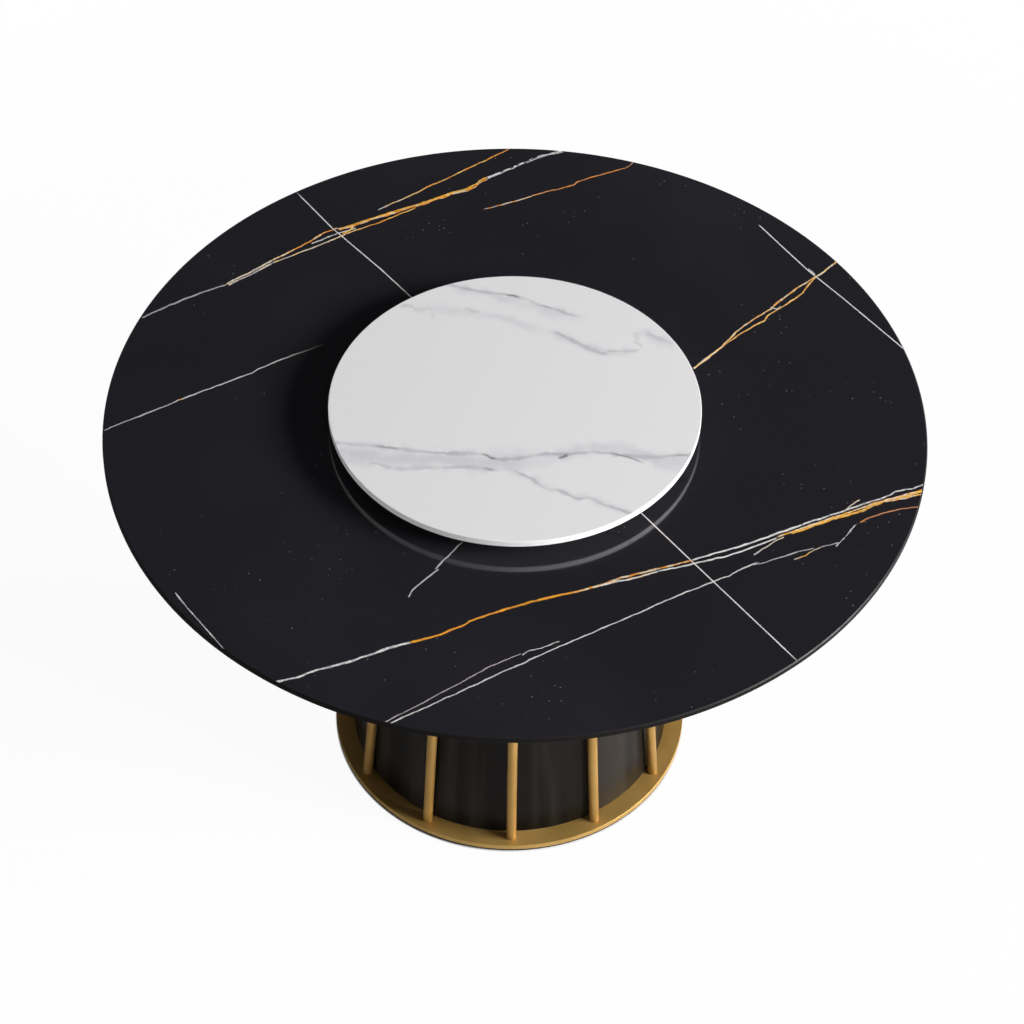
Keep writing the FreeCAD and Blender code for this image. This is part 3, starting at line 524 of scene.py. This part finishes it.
def edge_stone(name, light, dark, level):
    """The same stone where it is cut: speckled, only brushed, and darker, as painted shade on the edge."""
    finish, tree, shader = new_finish(name, Specular_IOR_Level=level)
    place = own_place(tree)
    tree.links.new(mixed(tree, noise(tree, place, 260.0, 4.0), dark, light), shader["Base Color"])
    tree.links.new(eased(tree, noise(tree, place, 40.0, 5.0), 0.3, 0.7, 0.38, 0.46), shader["Roughness"])
    tree.links.new(bumpy(tree, noise(tree, place, 900.0, 2.0), 0.3, 0.08 * MM), shader["Normal"])
    return finish


# Painted shade: the chamfers and sawn sides get darker tones than the face, for the shade on the slab's edge.
shaded_ground_stone = edge_stone("ground_black_stone_painted_shade", colour(29, 27, 28), colour(22, 20, 21), 0.15)
shaded_sawn_stone = edge_stone("sawn_black_stone_painted_shade", colour(24, 22, 21), colour(15, 13, 12), 0.04)

low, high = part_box("top_slab")
slab_radius = high.x
slab_corners = [(slab_radius - SLAB_CHAMFER, low.z), (slab_radius, low.z + SLAB_CHAMFER),
                (slab_radius, high.z - SLAB_CHAMFER), (slab_radius - SLAB_CHAMFER, high.z)]
bm = turned([(0, low.z), *slab_corners, (0, high.z)], ROUND_STEPS)
soften(bm, slab_corners, SLAB_ARRIS, 2)
piece("stone_top", bm, black_stone, "table", "black_stone", "top_slab", chamfer=shaded_ground_stone, side=shaded_sawn_stone)


# ---- Adhesive --------------------------------------------------------------------------------------
# Dabs of pale flexible adhesive, 1.5 mm thick, that hold the stone to the board and take up the difference
# in how the two swell.
def dress(finish, *nodes):
    """A CAD piece keeps its shape and gets this finish."""
    for node in nodes:
        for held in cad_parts[node].material_slots:
            held.material = finish


# Paint, plastic or rubber that isn't quite smooth: a fine skin, and patches a little lighter or duller.
uneven_skin, given, out = new_group(
    "uneven_skin", {"Place": "Vector", "Grain": "Float", "Depth": "Float", "Patch": "Float"},
    {"Tone": "Float", "Normal": "Vector"})
patches = noise(uneven_skin, given["Place"], maths(uneven_skin, "DIVIDE", 1.0, given["Patch"]), 5.0)
uneven_skin.links.new(eased(uneven_skin, patches, 0.3, 0.7), out["Tone"])
bumps = noise(uneven_skin, given["Place"], maths(uneven_skin, "DIVIDE", 1.0, given["Grain"]), 2.0)
uneven_skin.links.new(bumpy(uneven_skin, bumps, 1.0, given["Depth"]), out["Normal"])


def skinned(name, light, dark, smooth, rough, grain, depth, patch, **plain):
    """A finish with an uneven skin, from its lighter and darker tones and its least and most roughness."""
    finish, tree, shader = new_finish(name, **plain)
    skin = use_group(tree, uneven_skin, {"Place": own_place(tree), "Grain": grain * MM,
                                         "Depth": depth * MM, "Patch": patch * MM})
    tree.links.new(mixed(tree, skin["Tone"], dark, light), shader["Base Color"])
    tree.links.new(eased(tree, skin["Tone"], 0.0, 1.0, smooth, rough), shader["Roughness"])
    tree.links.new(skin["Normal"], shader["Normal"])
    return finish


dress(skinned("pale_adhesive", colour(214, 211, 203), colour(196, 192, 183), 0.4, 0.6, 3, 0.4, 20),
      "slab_adhesive")


# ---- Backing board ---------------------------------------------------------------------------------
# Round birch plywood, 18 mm thick, that carries the stone. Its edge is bevelled underneath, so that only
# the thin stone shows, and it is sprayed matt black; the grain and the plies still show faintly.
BOARD_EDGE_HEIGHT = 6 * MM
BOARD_BEVEL = 25 * MM
BOARD_ARRIS = 0.6 * MM
PLY = 1.4 * MM

# Grain along X on a board's faces, and the lines of its plies round its edge.
wood_lines, given, out = new_group("wood_lines", {"Place": "Vector"}, {"Grain": "Float", "Plies": "Float"})
stretched = vectors(wood_lines, "MULTIPLY", given["Place"], (1.2, 22.0, 22.0))
bent = vectors(wood_lines, "ADD", stretched, noise(wood_lines, given["Place"], 5.0, 2.0))
wood_lines.links.new(eased(wood_lines, noise(wood_lines, bent, 9.0, 6.0), 0.3, 0.7), out["Grain"])
height = parted(wood_lines, given["Place"])["Z"]
plies = maths(wood_lines, "SINE", maths(wood_lines, "MULTIPLY", height, math.pi / PLY))
plies = eased(wood_lines, plies, -0.3, 0.3)
upright = parted(wood_lines, put(wood_lines, "NewGeometry").outputs["Normal"])["Z"]
upright = eased(wood_lines, maths(wood_lines, "ABSOLUTE", upright), 0.9, 0.99, 1.0, 0.0)
wood_lines.links.new(maths(wood_lines, "MULTIPLY", plies, upright), out["Plies"])

painted_board, tree, shader = new_finish("matt_black_plywood")
lines = use_group(tree, wood_lines, {"Place": own_place(tree)})
tree.links.new(mixed(tree, lines["Grain"], colour(19, 18, 18), colour(30, 29, 28)), shader["Base Color"])
tree.links.new(eased(tree, lines["Grain"], 0.0, 1.0, 0.5, 0.68), shader["Roughness"])
relief = maths(tree, "ADD", maths(tree, "MULTIPLY", lines["Grain"], 0.5), lines["Plies"])
tree.links.new(bumpy(tree, relief, 0.5, 0.15 * MM), shader["Normal"])

low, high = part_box("backing_board")
board_corners = [(high.x - BOARD_BEVEL, low.z), (high.x, high.z - BOARD_EDGE_HEIGHT), (high.x, high.z)]
bm = turned([(0, low.z), *board_corners, (0, high.z)], ROUND_STEPS)
soften(bm, board_corners, BOARD_ARRIS, 2)
piece("board", bm, painted_board, "table", "painted_plywood", "backing_board")


# ---- Inserts, bolts and mounting plate --------------------------------------------------------------
# A round steel plate, powder coated black, bolted up into brass inserts in the board by eight hexagon
# bolts with plain washers, blackened.
brass = skinned("brass", colour(206, 172, 96), colour(184, 148, 74), 0.29, 0.42, 0.8, 0.01, 4, Metallic=1.0)
blackened = skinned("blackened_steel", colour(38, 38, 40), colour(22, 22, 24), 0.34, 0.52, 0.6, 0.015, 5,
                    Metallic=0.6)
powder_coat = skinned("black_powder_coat", colour(26, 26, 27), colour(19, 19, 20), 0.42, 0.55, 1.1, 0.05, 60,
                      Specular_IOR_Level=0.2)
dress(brass, "threaded_inserts")
dress(blackened, "top_bolts", "top_washers")
dress(powder_coat, "mounting_plate")


# ---- Gold rings ------------------------------------------------------------------------------------
# Two flat steel rings, cut from plate, their edges eased, brushed round and finished in satin gold lacquer.
# The lower one is the foot that shows on the floor and the upper one is hidden under the top.
RING_ARRIS = 0.8 * MM
FOOT_RING_HOLE = 243.3 * MM
HEAD_RING_HOLE = 184.3 * MM
GOLD_LIGHT = colour(196, 160, 92)
GOLD_DEEP = colour(174, 138, 72)
HOOP_MARKS = 3.0                # how fast the marks on a hoop change round it

# Coordinates that follow a hoop, so that marks on them run round the Z axis.
hoop_place, given, out = new_group("hoop_place", {"Place": "Vector", "Spacing": "Float"}, {"Place": "Vector"})
parts = parted(hoop_place, given["Place"])
across = put(hoop_place, "CombineXYZ", {"X": parts["X"], "Y": parts["Y"]}).outputs[0]
radius = put(hoop_place, "VectorMath", {0: across}, operation="LENGTH").outputs["Value"]
round_it = parted(hoop_place, vectors(hoop_place, "NORMALIZE", across))
hoop_place.links.new(put(hoop_place, "CombineXYZ", {
    "X": maths(hoop_place, "DIVIDE", maths(hoop_place, "ADD", radius, parts["Z"]), given["Spacing"]),
    "Y": maths(hoop_place, "MULTIPLY", round_it["X"], HOOP_MARKS),
    "Z": maths(hoop_place, "MULTIPLY", round_it["Y"], HOOP_MARKS)}).outputs[0], out["Place"])


def satin(name, follow, spacing, light, deep, smooth, rough, depth, **plain):
    """Metal with fine marks that follow the piece, as lathe or drawing marks do."""
    finish, tree, shader = new_finish(name, **plain)
    place = own_place(tree)
    marks = noise(tree, use_group(tree, follow, {"Place": place, "Spacing": spacing * MM})["Place"], 1.0, 4.0)
    handled = eased(tree, noise(tree, place, 14.0, 5.0), 0.32, 0.68)
    both = maths(tree, "ADD", eased(tree, marks, 0.25, 0.75), handled)
    tree.links.new(mixed(tree, maths(tree, "MULTIPLY", both, 0.5), deep, light), shader["Base Color"])
    tree.links.new(eased(tree, both, 0.2, 1.8, smooth, rough), shader["Roughness"])
    tree.links.new(bumpy(tree, marks, 0.4, depth * MM), shader["Normal"])
    return finish


gold_ring = satin("satin_gold_hoop", hoop_place, 0.35, GOLD_LIGHT, GOLD_DEEP, 0.42, 0.54, 0.01, Metallic=0.6)
for name, node, hole in (("foot_ring", "lower_ring", FOOT_RING_HOLE),
                         ("head_ring", "upper_ring", HEAD_RING_HOLE)):
    low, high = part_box(node)
    ring_corners = [(hole, low.z), (high.x, low.z), (high.x, high.z), (hole, high.z)]
    bm = turned(ring_corners, ROUND_STEPS, closed=True)
    soften(bm, ring_corners, RING_ARRIS, 4)
    piece(name, bm, gold_ring, "table", "gold_steel", node)


# ---- Cage of tubes ---------------------------------------------------------------------------------
# Twelve thin-walled steel tubes, plated satin gold, that lean in from the foot ring to the head ring. Their
# ends are cut level and screwed to the rings through plugs, of zinc-plated steel like the screws.
TUBE_COUNT = 12
TUBE_RADIUS = 8.6 * MM
TUBE_WALL = 1.5 * MM
TUBE_STEPS = 72
TUBE_LIGHT = colour(188, 149, 84)
TUBE_DEEP = colour(166, 127, 65)
FOOT_CIRCLE = 290.5 * MM        # circle of the tubes' axes on the lower ring
HEAD_CIRCLE = 231.5 * MM        # the same under the upper ring
LEAN_MARKS = 9.0                # how fast the marks on a tube, or the painted sheen bands on the drum, change up it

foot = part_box("lower_ring")[1].z
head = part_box("upper_ring")[0].z
lean = (FOOT_CIRCLE - HEAD_CIRCLE) / (head - foot)

# Coordinates that follow a leaning tube or the cone of the drum, so that marks, or the drum's painted sheen
# bands, run up it.
lean_place, given, out = new_group("lean_place", {"Place": "Vector", "Spacing": "Float"}, {"Place": "Vector"})
parts = parted(lean_place, given["Place"])
across = put(lean_place, "CombineXYZ", {"X": parts["X"], "Y": parts["Y"]}).outputs[0]
circle = maths(lean_place, "MULTIPLY", parts["Z"], lean)
circle = maths(lean_place, "SUBTRACT", FOOT_CIRCLE + lean * foot, circle)
flat = put(lean_place, "VectorMath", {0: across, "Scale": maths(lean_place, "DIVIDE", FOOT_CIRCLE, circle)},
           operation="SCALE").outputs[0]
flat = parted(lean_place, flat)
lean_place.links.new(put(lean_place, "CombineXYZ", {
    "X": maths(lean_place, "DIVIDE", flat["X"], given["Spacing"]),
    "Y": maths(lean_place, "DIVIDE", flat["Y"], given["Spacing"]),
    "Z": maths(lean_place, "MULTIPLY", parts["Z"], LEAN_MARKS)}).outputs[0], out["Place"])

gold_tube = satin("satin_gold_tube", lean_place, 0.35, TUBE_LIGHT, TUBE_DEEP, 0.36, 0.46, 0.01, Metallic=0.7)
zinc = skinned("zinc_plate", colour(204, 207, 210), colour(178, 180, 178), 0.29, 0.4, 0.9, 0.01, 5,
               Metallic=1.0)
dress(zinc, "tube_foot_plugs", "tube_head_plugs", "tube_foot_screws", "tube_head_screws")
for index in range(TUBE_COUNT):
    bm = bmesh.new()
    bmesh.ops.create_cone(bm, cap_ends=False, segments=TUBE_STEPS, radius1=TUBE_RADIUS, radius2=TUBE_RADIUS,
                          depth=head - foot)
    for vertex in bm.verts:
        share = vertex.co.z / (head - foot) + 0.5
        vertex.co.x = vertex.co.x * math.hypot(1, lean) + FOOT_CIRCLE + (HEAD_CIRCLE - FOOT_CIRCLE) * share
        vertex.co.z = foot + (head - foot) * share
    bmesh.ops.recalc_face_normals(bm, faces=bm.faces)
    bmesh.ops.solidify(bm, geom=bm.faces, thickness=TUBE_WALL)
    turn = Matrix.Rotation(2 * math.pi * index / TUBE_COUNT, 3, "Z")
    bmesh.ops.rotate(bm, verts=bm.verts, cent=(0, 0, 0), matrix=turn)
    piece(f"tube_{index + 1:02}", bm, gold_tube, "table", "gold_steel", f"cage_tube_{index + 1:02}")


# ---- Drum ------------------------------------------------------------------------------------------
# A cone of 1.5 mm steel sheet, rolled and closed with a narrow butt seam at the back over a strip, held by
# small screws behind the tubes at the back, and lacquered satin black. Bands that run up it vary its
# roughness, as brushing upwards would, and lighten and darken its colour, which is painted sheen.
SKIN_FOOT = 279.13 * MM
SKIN_HEAD = 220.56 * MM
SKIN_THICKNESS = 1.5 * MM
SEAM = 0.6 * MM
SKIN_STEPS = 300
SHEEN_STREAK_SPACING = 42 * MM
SHEEN_STREAK_STRETCH = 0.12           # how much slower the streaks change up the drum than round it
SHEEN_STREAK_SHIFT = 10.0             # where in the noise the painted sheen bands are taken, which sets where the lighter ones fall

drum_paint, tree, shader = new_finish("satin_black_paint_with_painted_sheen", Specular_IOR_Level=0.1)
place = own_place(tree)
skin = use_group(tree, uneven_skin, {"Place": place, "Grain": 2.2 * MM, "Depth": 0.012 * MM,
                                     "Patch": 90 * MM})
sheen_place = use_group(tree, lean_place, {"Place": place, "Spacing": SHEEN_STREAK_SPACING})["Place"]
sheen_place = vectors(tree, "MULTIPLY_ADD", sheen_place, (1, 1, SHEEN_STREAK_STRETCH), (0, 0, SHEEN_STREAK_SHIFT))
# Painted sheen: noise bands running up the drum lighten and darken its black, standing in for reflections.
sheen_streaks = eased(tree, noise(tree, sheen_place, 1.0, 3.0), 0.36, 0.66)
tree.links.new(mixed(tree, sheen_streaks, colour(15, 12, 10), colour(37, 33, 29)), shader["Base Color"])
both = maths(tree, "ADD", sheen_streaks, skin["Tone"])
tree.links.new(eased(tree, both, 0.2, 1.8, 0.285, 0.36), shader["Roughness"])
tree.links.new(skin["Normal"], shader["Normal"])

low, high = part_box("drum_skin")
bm = bmesh.new()
ends = [bm.verts.new((0, SKIN_FOOT, low.z)), bm.verts.new((0, SKIN_HEAD, high.z))]
seam_turn = SEAM / (SKIN_FOOT + SKIN_HEAD)
bmesh.ops.rotate(bm, verts=ends, cent=(0, 0, 0), matrix=Matrix.Rotation(seam_turn, 3, "Z"))
bmesh.ops.spin(bm, geom=ends + [bm.edges.new(ends)], cent=(0, 0, 0), axis=(0, 0, 1),
               angle=2 * (math.pi - seam_turn), steps=SKIN_STEPS)
bmesh.ops.recalc_face_normals(bm, faces=bm.faces)
if sum(face.calc_center_median().dot(face.normal) for face in bm.faces) < 0:
    bmesh.ops.reverse_faces(bm, faces=bm.faces)
bmesh.ops.solidify(bm, geom=bm.faces, thickness=SKIN_THICKNESS)
piece("drum", bm, drum_paint, "table", "black_drum_steel", "drum_skin")
dress(drum_paint, "seam_strip", "skin_screws")


# ---- Drum's inside ---------------------------------------------------------------------------------
# Two rings of birch plywood that keep the skin round, painted black because a narrow gap shows their edges,
# with six bare battens between them. Zinc-plated screws hold the steel rings to them.
bare_board, tree, shader = new_finish("bare_birch_plywood")
lines = use_group(tree, wood_lines, {"Place": own_place(tree)})
wood = mixed(tree, lines["Grain"], colour(186, 148, 102), colour(216, 184, 138))
tree.links.new(mixed(tree, maths(tree, "MULTIPLY", lines["Plies"], 0.5), wood, colour(150, 110, 70)),
               shader["Base Color"])
tree.links.new(eased(tree, lines["Grain"], 0.0, 1.0, 0.55, 0.75), shader["Roughness"])
tree.links.new(bumpy(tree, lines["Grain"], 0.4, 0.2 * MM), shader["Normal"])
dress(painted_board, "lower_former", "upper_former")
dress(bare_board, "drum_battens")
dress(zinc, "lower_ring_screws", "upper_ring_screws")


# ---- Column ----------------------------------------------------------------------------------------
# The steel tube inside the drum that carries the load, with a flange and six gussets at each end, powder
# coated black and screwed to the plates.
dress(powder_coat, "column_tube", "foot_flange", "head_flange", "foot_gussets", "head_gussets")
dress(zinc, "foot_flange_screws", "head_flange_screws")


# ---- Base plate and glides -------------------------------------------------------------------------
# A round steel plate, powder coated black, that carries the column and the foot ring. It stands on eight
# thin rubber glides near its edge.
PLATE_ARRIS = 0.4 * MM
GLIDE_RADIUS = 22 * MM
GLIDE_CIRCLE = 278 * MM
GLIDE_ARRIS = 0.4 * MM
PAD_COUNT = 8
PAD_STEPS = 48


def pads(radius, circle, low, high, arris):
    """Eight round pads on a circle, the first on the X axis, their rims rounded."""
    bm = bmesh.new()
    middle = Matrix.Translation((circle, 0, (low + high) / 2))
    bmesh.ops.create_cone(bm, cap_ends=True, segments=PAD_STEPS, radius1=radius, radius2=radius,
                          depth=high - low, matrix=middle)
    rims = [e for e in bm.edges if abs(e.verts[0].co.z - e.verts[1].co.z) < LEVEL]
    bmesh.ops.bevel(bm, geom=rims, offset=arris, offset_type="OFFSET", affect="EDGES", segments=3,
                    profile=0.5, material=-1)
    bmesh.ops.spin(bm, geom=bm.verts[:] + bm.edges[:] + bm.faces[:], cent=(0, 0, 0), axis=(0, 0, 1),
                   angle=2 * math.pi * (PAD_COUNT - 1) / PAD_COUNT, steps=PAD_COUNT - 1, use_duplicate=True)
    return bm


rubber = skinned("black_rubber", colour(34, 34, 34), colour(22, 22, 22), 0.7, 0.9, 0.5, 0.05, 8)
low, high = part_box("base_plate")
plate_corners = [(high.x, low.z), (high.x, high.z)]
bm = turned([(0, low.z), *plate_corners, (0, high.z)], ROUND_STEPS)
soften(bm, plate_corners, PLATE_ARRIS, 3)
piece("floor_plate", bm, powder_coat, "table", "black_frame_steel", "base_plate")
low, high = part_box("glide_pads")
piece("glides", pads(GLIDE_RADIUS, GLIDE_CIRCLE, low.z, high.z, GLIDE_ARRIS), rubber, "table",
      "black_rubber", "glide_pads")


# ---- Lazy susan's bearing --------------------------------------------------------------------------
# Two turned aluminium rings with a groove each, thirty steel balls between them in a nylon strip, and the
# slotted plug of the hole that the balls go in by. It stands on eight rubber feet, and eight clear pads on
# its inner ring bed the disc.
SUSAN_PAD_RADIUS = 8.5 * MM
SUSAN_PAD_ARRIS = 0.5 * MM
FOOT_PAD_CIRCLE = 210.5 * MM
DISC_PAD_CIRCLE = 189.5 * MM

aluminium = satin("turned_aluminium", hoop_place, 0.5, colour(212, 213, 216), colour(184, 186, 190),
                  0.29, 0.4, 0.02, Metallic=1.0)
ball_steel = skinned("ball_steel", colour(214, 216, 220), colour(196, 198, 202), 0.06, 0.12, 0.4, 0.002, 6,
                     Metallic=1.0)
nylon = skinned("white_nylon", colour(228, 225, 214), colour(214, 210, 198), 0.38, 0.52, 0.8, 0.02, 10)
clear = skinned("clear_pad", colour(236, 239, 241), colour(226, 230, 232), 0.18, 0.26, 1.0, 0.02, 6,
                Transmission_Weight=0.7, IOR=1.45)
dress(aluminium, "bearing_outer_ring", "bearing_inner_ring")
dress(ball_steel, "bearing_balls")
dress(nylon, "ball_cage")
dress(blackened, "filling_plug")
low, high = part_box("susan_feet")
piece("rubber_feet", pads(SUSAN_PAD_RADIUS, FOOT_PAD_CIRCLE, low.z, high.z, SUSAN_PAD_ARRIS), rubber,
      "turntable_base", "black_rubber", "susan_feet")
low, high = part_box("disc_pads")
piece("bedding_pads", pads(SUSAN_PAD_RADIUS, DISC_PAD_CIRCLE, low.z, high.z, SUSAN_PAD_ARRIS), clear,
      "turntable", "clear_pad", "disc_pads")


# ---- Lazy susan's disc -----------------------------------------------------------------------------
# A round disc of white sintered stone, 12 mm thick, honed smooth, its arrises rounded. Soft violet-grey
# veins drift across it, with a few sharp dark threads in them.
DISC_ARRIS = 1 * MM
WHITE_STONE = colour(232, 230, 231)
WHITE_STONE_CLOUD = colour(227, 226, 227)
LAVENDER = colour(208, 206, 212)
GREY_THREAD = colour(168, 165, 174)
DARK_THREAD = colour(112, 110, 116)

white_stone, tree, shader = new_finish("white_stone_grey_veins", IOR=1.5)
flat_place = own_place(tree)
place = wandering(tree, flat_place, 10 * MM, 16.0)
smudged = wandering(tree, flat_place, 22 * MM, 22.0, 5.0)
ground = mixed(tree, noise(tree, flat_place, 650.0, 1.0), WHITE_STONE, WHITE_STONE_CLOUD)

# Soft clouds of colour, then soft lines in them, then short dark threads.
for points, width, strength in (
        ([(-370, -104), (-298, -112), (-218, -119), (-137, -126), (-57, -130), (20, -130), (75, -122)],
         62, 0.95),
        ([(20, -126), (85, -112), (121, -100), (169, -104), (225, -122), (290, -122), (350, -120)], 42, 0.8),
        ([(105, -98), (145, -96), (186, -104), (217, -121)], 26, 0.5),
        ([(186, -112), (217, -124), (245, -139), (272, -150), (310, -160)], 40, 0.6),
        ([(-135, 296), (-85, 274), (-21, 250), (29, 230), (79, 211), (129, 197)], 34, 0.7),
        ([(-189, 233), (-139, 226), (-80, 218), (-22, 204), (28, 180), (78, 163)], 30, 0.6),
        ([(45, 173), (94, 151), (144, 125), (210, 130)], 30, 0.7),
        ([(190, 158), (217, 167), (231, 159), (247, 149), (275, 130)], 34, 0.6),
        ([(-17, -143), (20, -165), (71, -196), (118, -212), (173, -240), (215, -262)], 20, 0.5)):
    ground = vein(tree, smudged, ground, points, width, LAVENDER, None, strength, 0.6, 0.0, 0.2)
for points, width, strength in (
        ([(-355, -80), (-293, -87), (-225, -94), (-186, -101), (-137, -109), (-50, -115), (-29, -125),
          (0, -124), (32, -117), (53, -112), (85, -113), (121, -110), (166, -114), (217, -121), (250, -117),
          (280, -115), (340, -112)], 13, 0.65),
        ([(-250, -132), (-221, -136), (-198, -145), (-137, -145), (-73, -144), (-41, -147), (-17, -148)],
         12, 0.5),
        ([(-17, -143), (-1, -152), (20, -165), (39, -183), (52, -192), (71, -196), (94, -212), (118, -212),
          (134, -222), (173, -240), (205, -258)], 11, 0.6),
        ([(-130, 291), (-92, 279), (-55, 267), (-26, 262), (-4, 258), (12, 251), (54, 230), (76, 222),
          (96, 211), (121, 201)], 12, 0.6),
        ([(53, 174), (78, 163), (91, 153), (111, 139), (127, 127), (143, 120), (163, 116)], 13, 0.6),
        ([(152, 125), (177, 124), (210, 129)], 12, 0.5),
        ([(197, 146), (207, 142), (213, 130)], 10, 0.35),
        ([(198, 170), (203, 158), (205, 146)], 14, 0.35),
        ([(217, 167), (231, 159), (247, 149), (267, 136)], 13, 0.4),
        ([(-193, 226), (-176, 235), (-159, 224), (-139, 226)], 16, 0.5),
        ([(-151, 235), (-139, 228), (-134, 213), (-131, 196)], 10, 0.25),
        ([(-84, 227), (-70, 221), (-55, 216)], 12, 0.6)):
    ground = vein(tree, place, ground, points, width, GREY_THREAD, None, strength, 0.7, 0.0, 0.12)
for points, width, strength in (
        ([(-225, -94), (-210, -97), (-186, -101)], 5, 0.6),
        ([(-60, -113), (-49, -116), (-41, -122), (-29, -125)], 6, 0.9),
        ([(66, -123), (75, -119), (85, -113)], 9, 0.9),
        ([(148, -109), (166, -115), (185, -122), (201, -131), (209, -139)], 5, 0.7),
        ([(-57, -143), (-42, -146), (-33, -151)], 5, 0.5),
        ([(250, -117), (280, -115)], 5, 0.4),
        ([(-16, 260), (-3, 258), (12, 250)], 6, 0.75),
        ([(46, 235), (66, 227)], 6, 0.4)):
    ground = vein(tree, place, ground, points, width, DARK_THREAD, None, strength, 0.3, 0.0, 0.3)
tree.links.new(ground, shader["Base Color"])
tree.links.new(eased(tree, noise(tree, flat_place, 4.0, 1.0), 0.3, 0.7, 0.285, 0.32), shader["Roughness"])
tree.links.new(bumpy(tree, noise(tree, flat_place, 1100.0, 2.0), 0.1, 0.05 * MM), shader["Normal"])

low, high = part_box("susan_disc")
disc_corners = [(high.x, low.z), (high.x, high.z)]
bm = turned([(0, low.z), *disc_corners, (0, high.z)], ROUND_STEPS)
soften(bm, disc_corners, DISC_ARRIS, 4)
piece("turntable_disc", bm, white_stone, "turntable", "white_stone", "susan_disc")
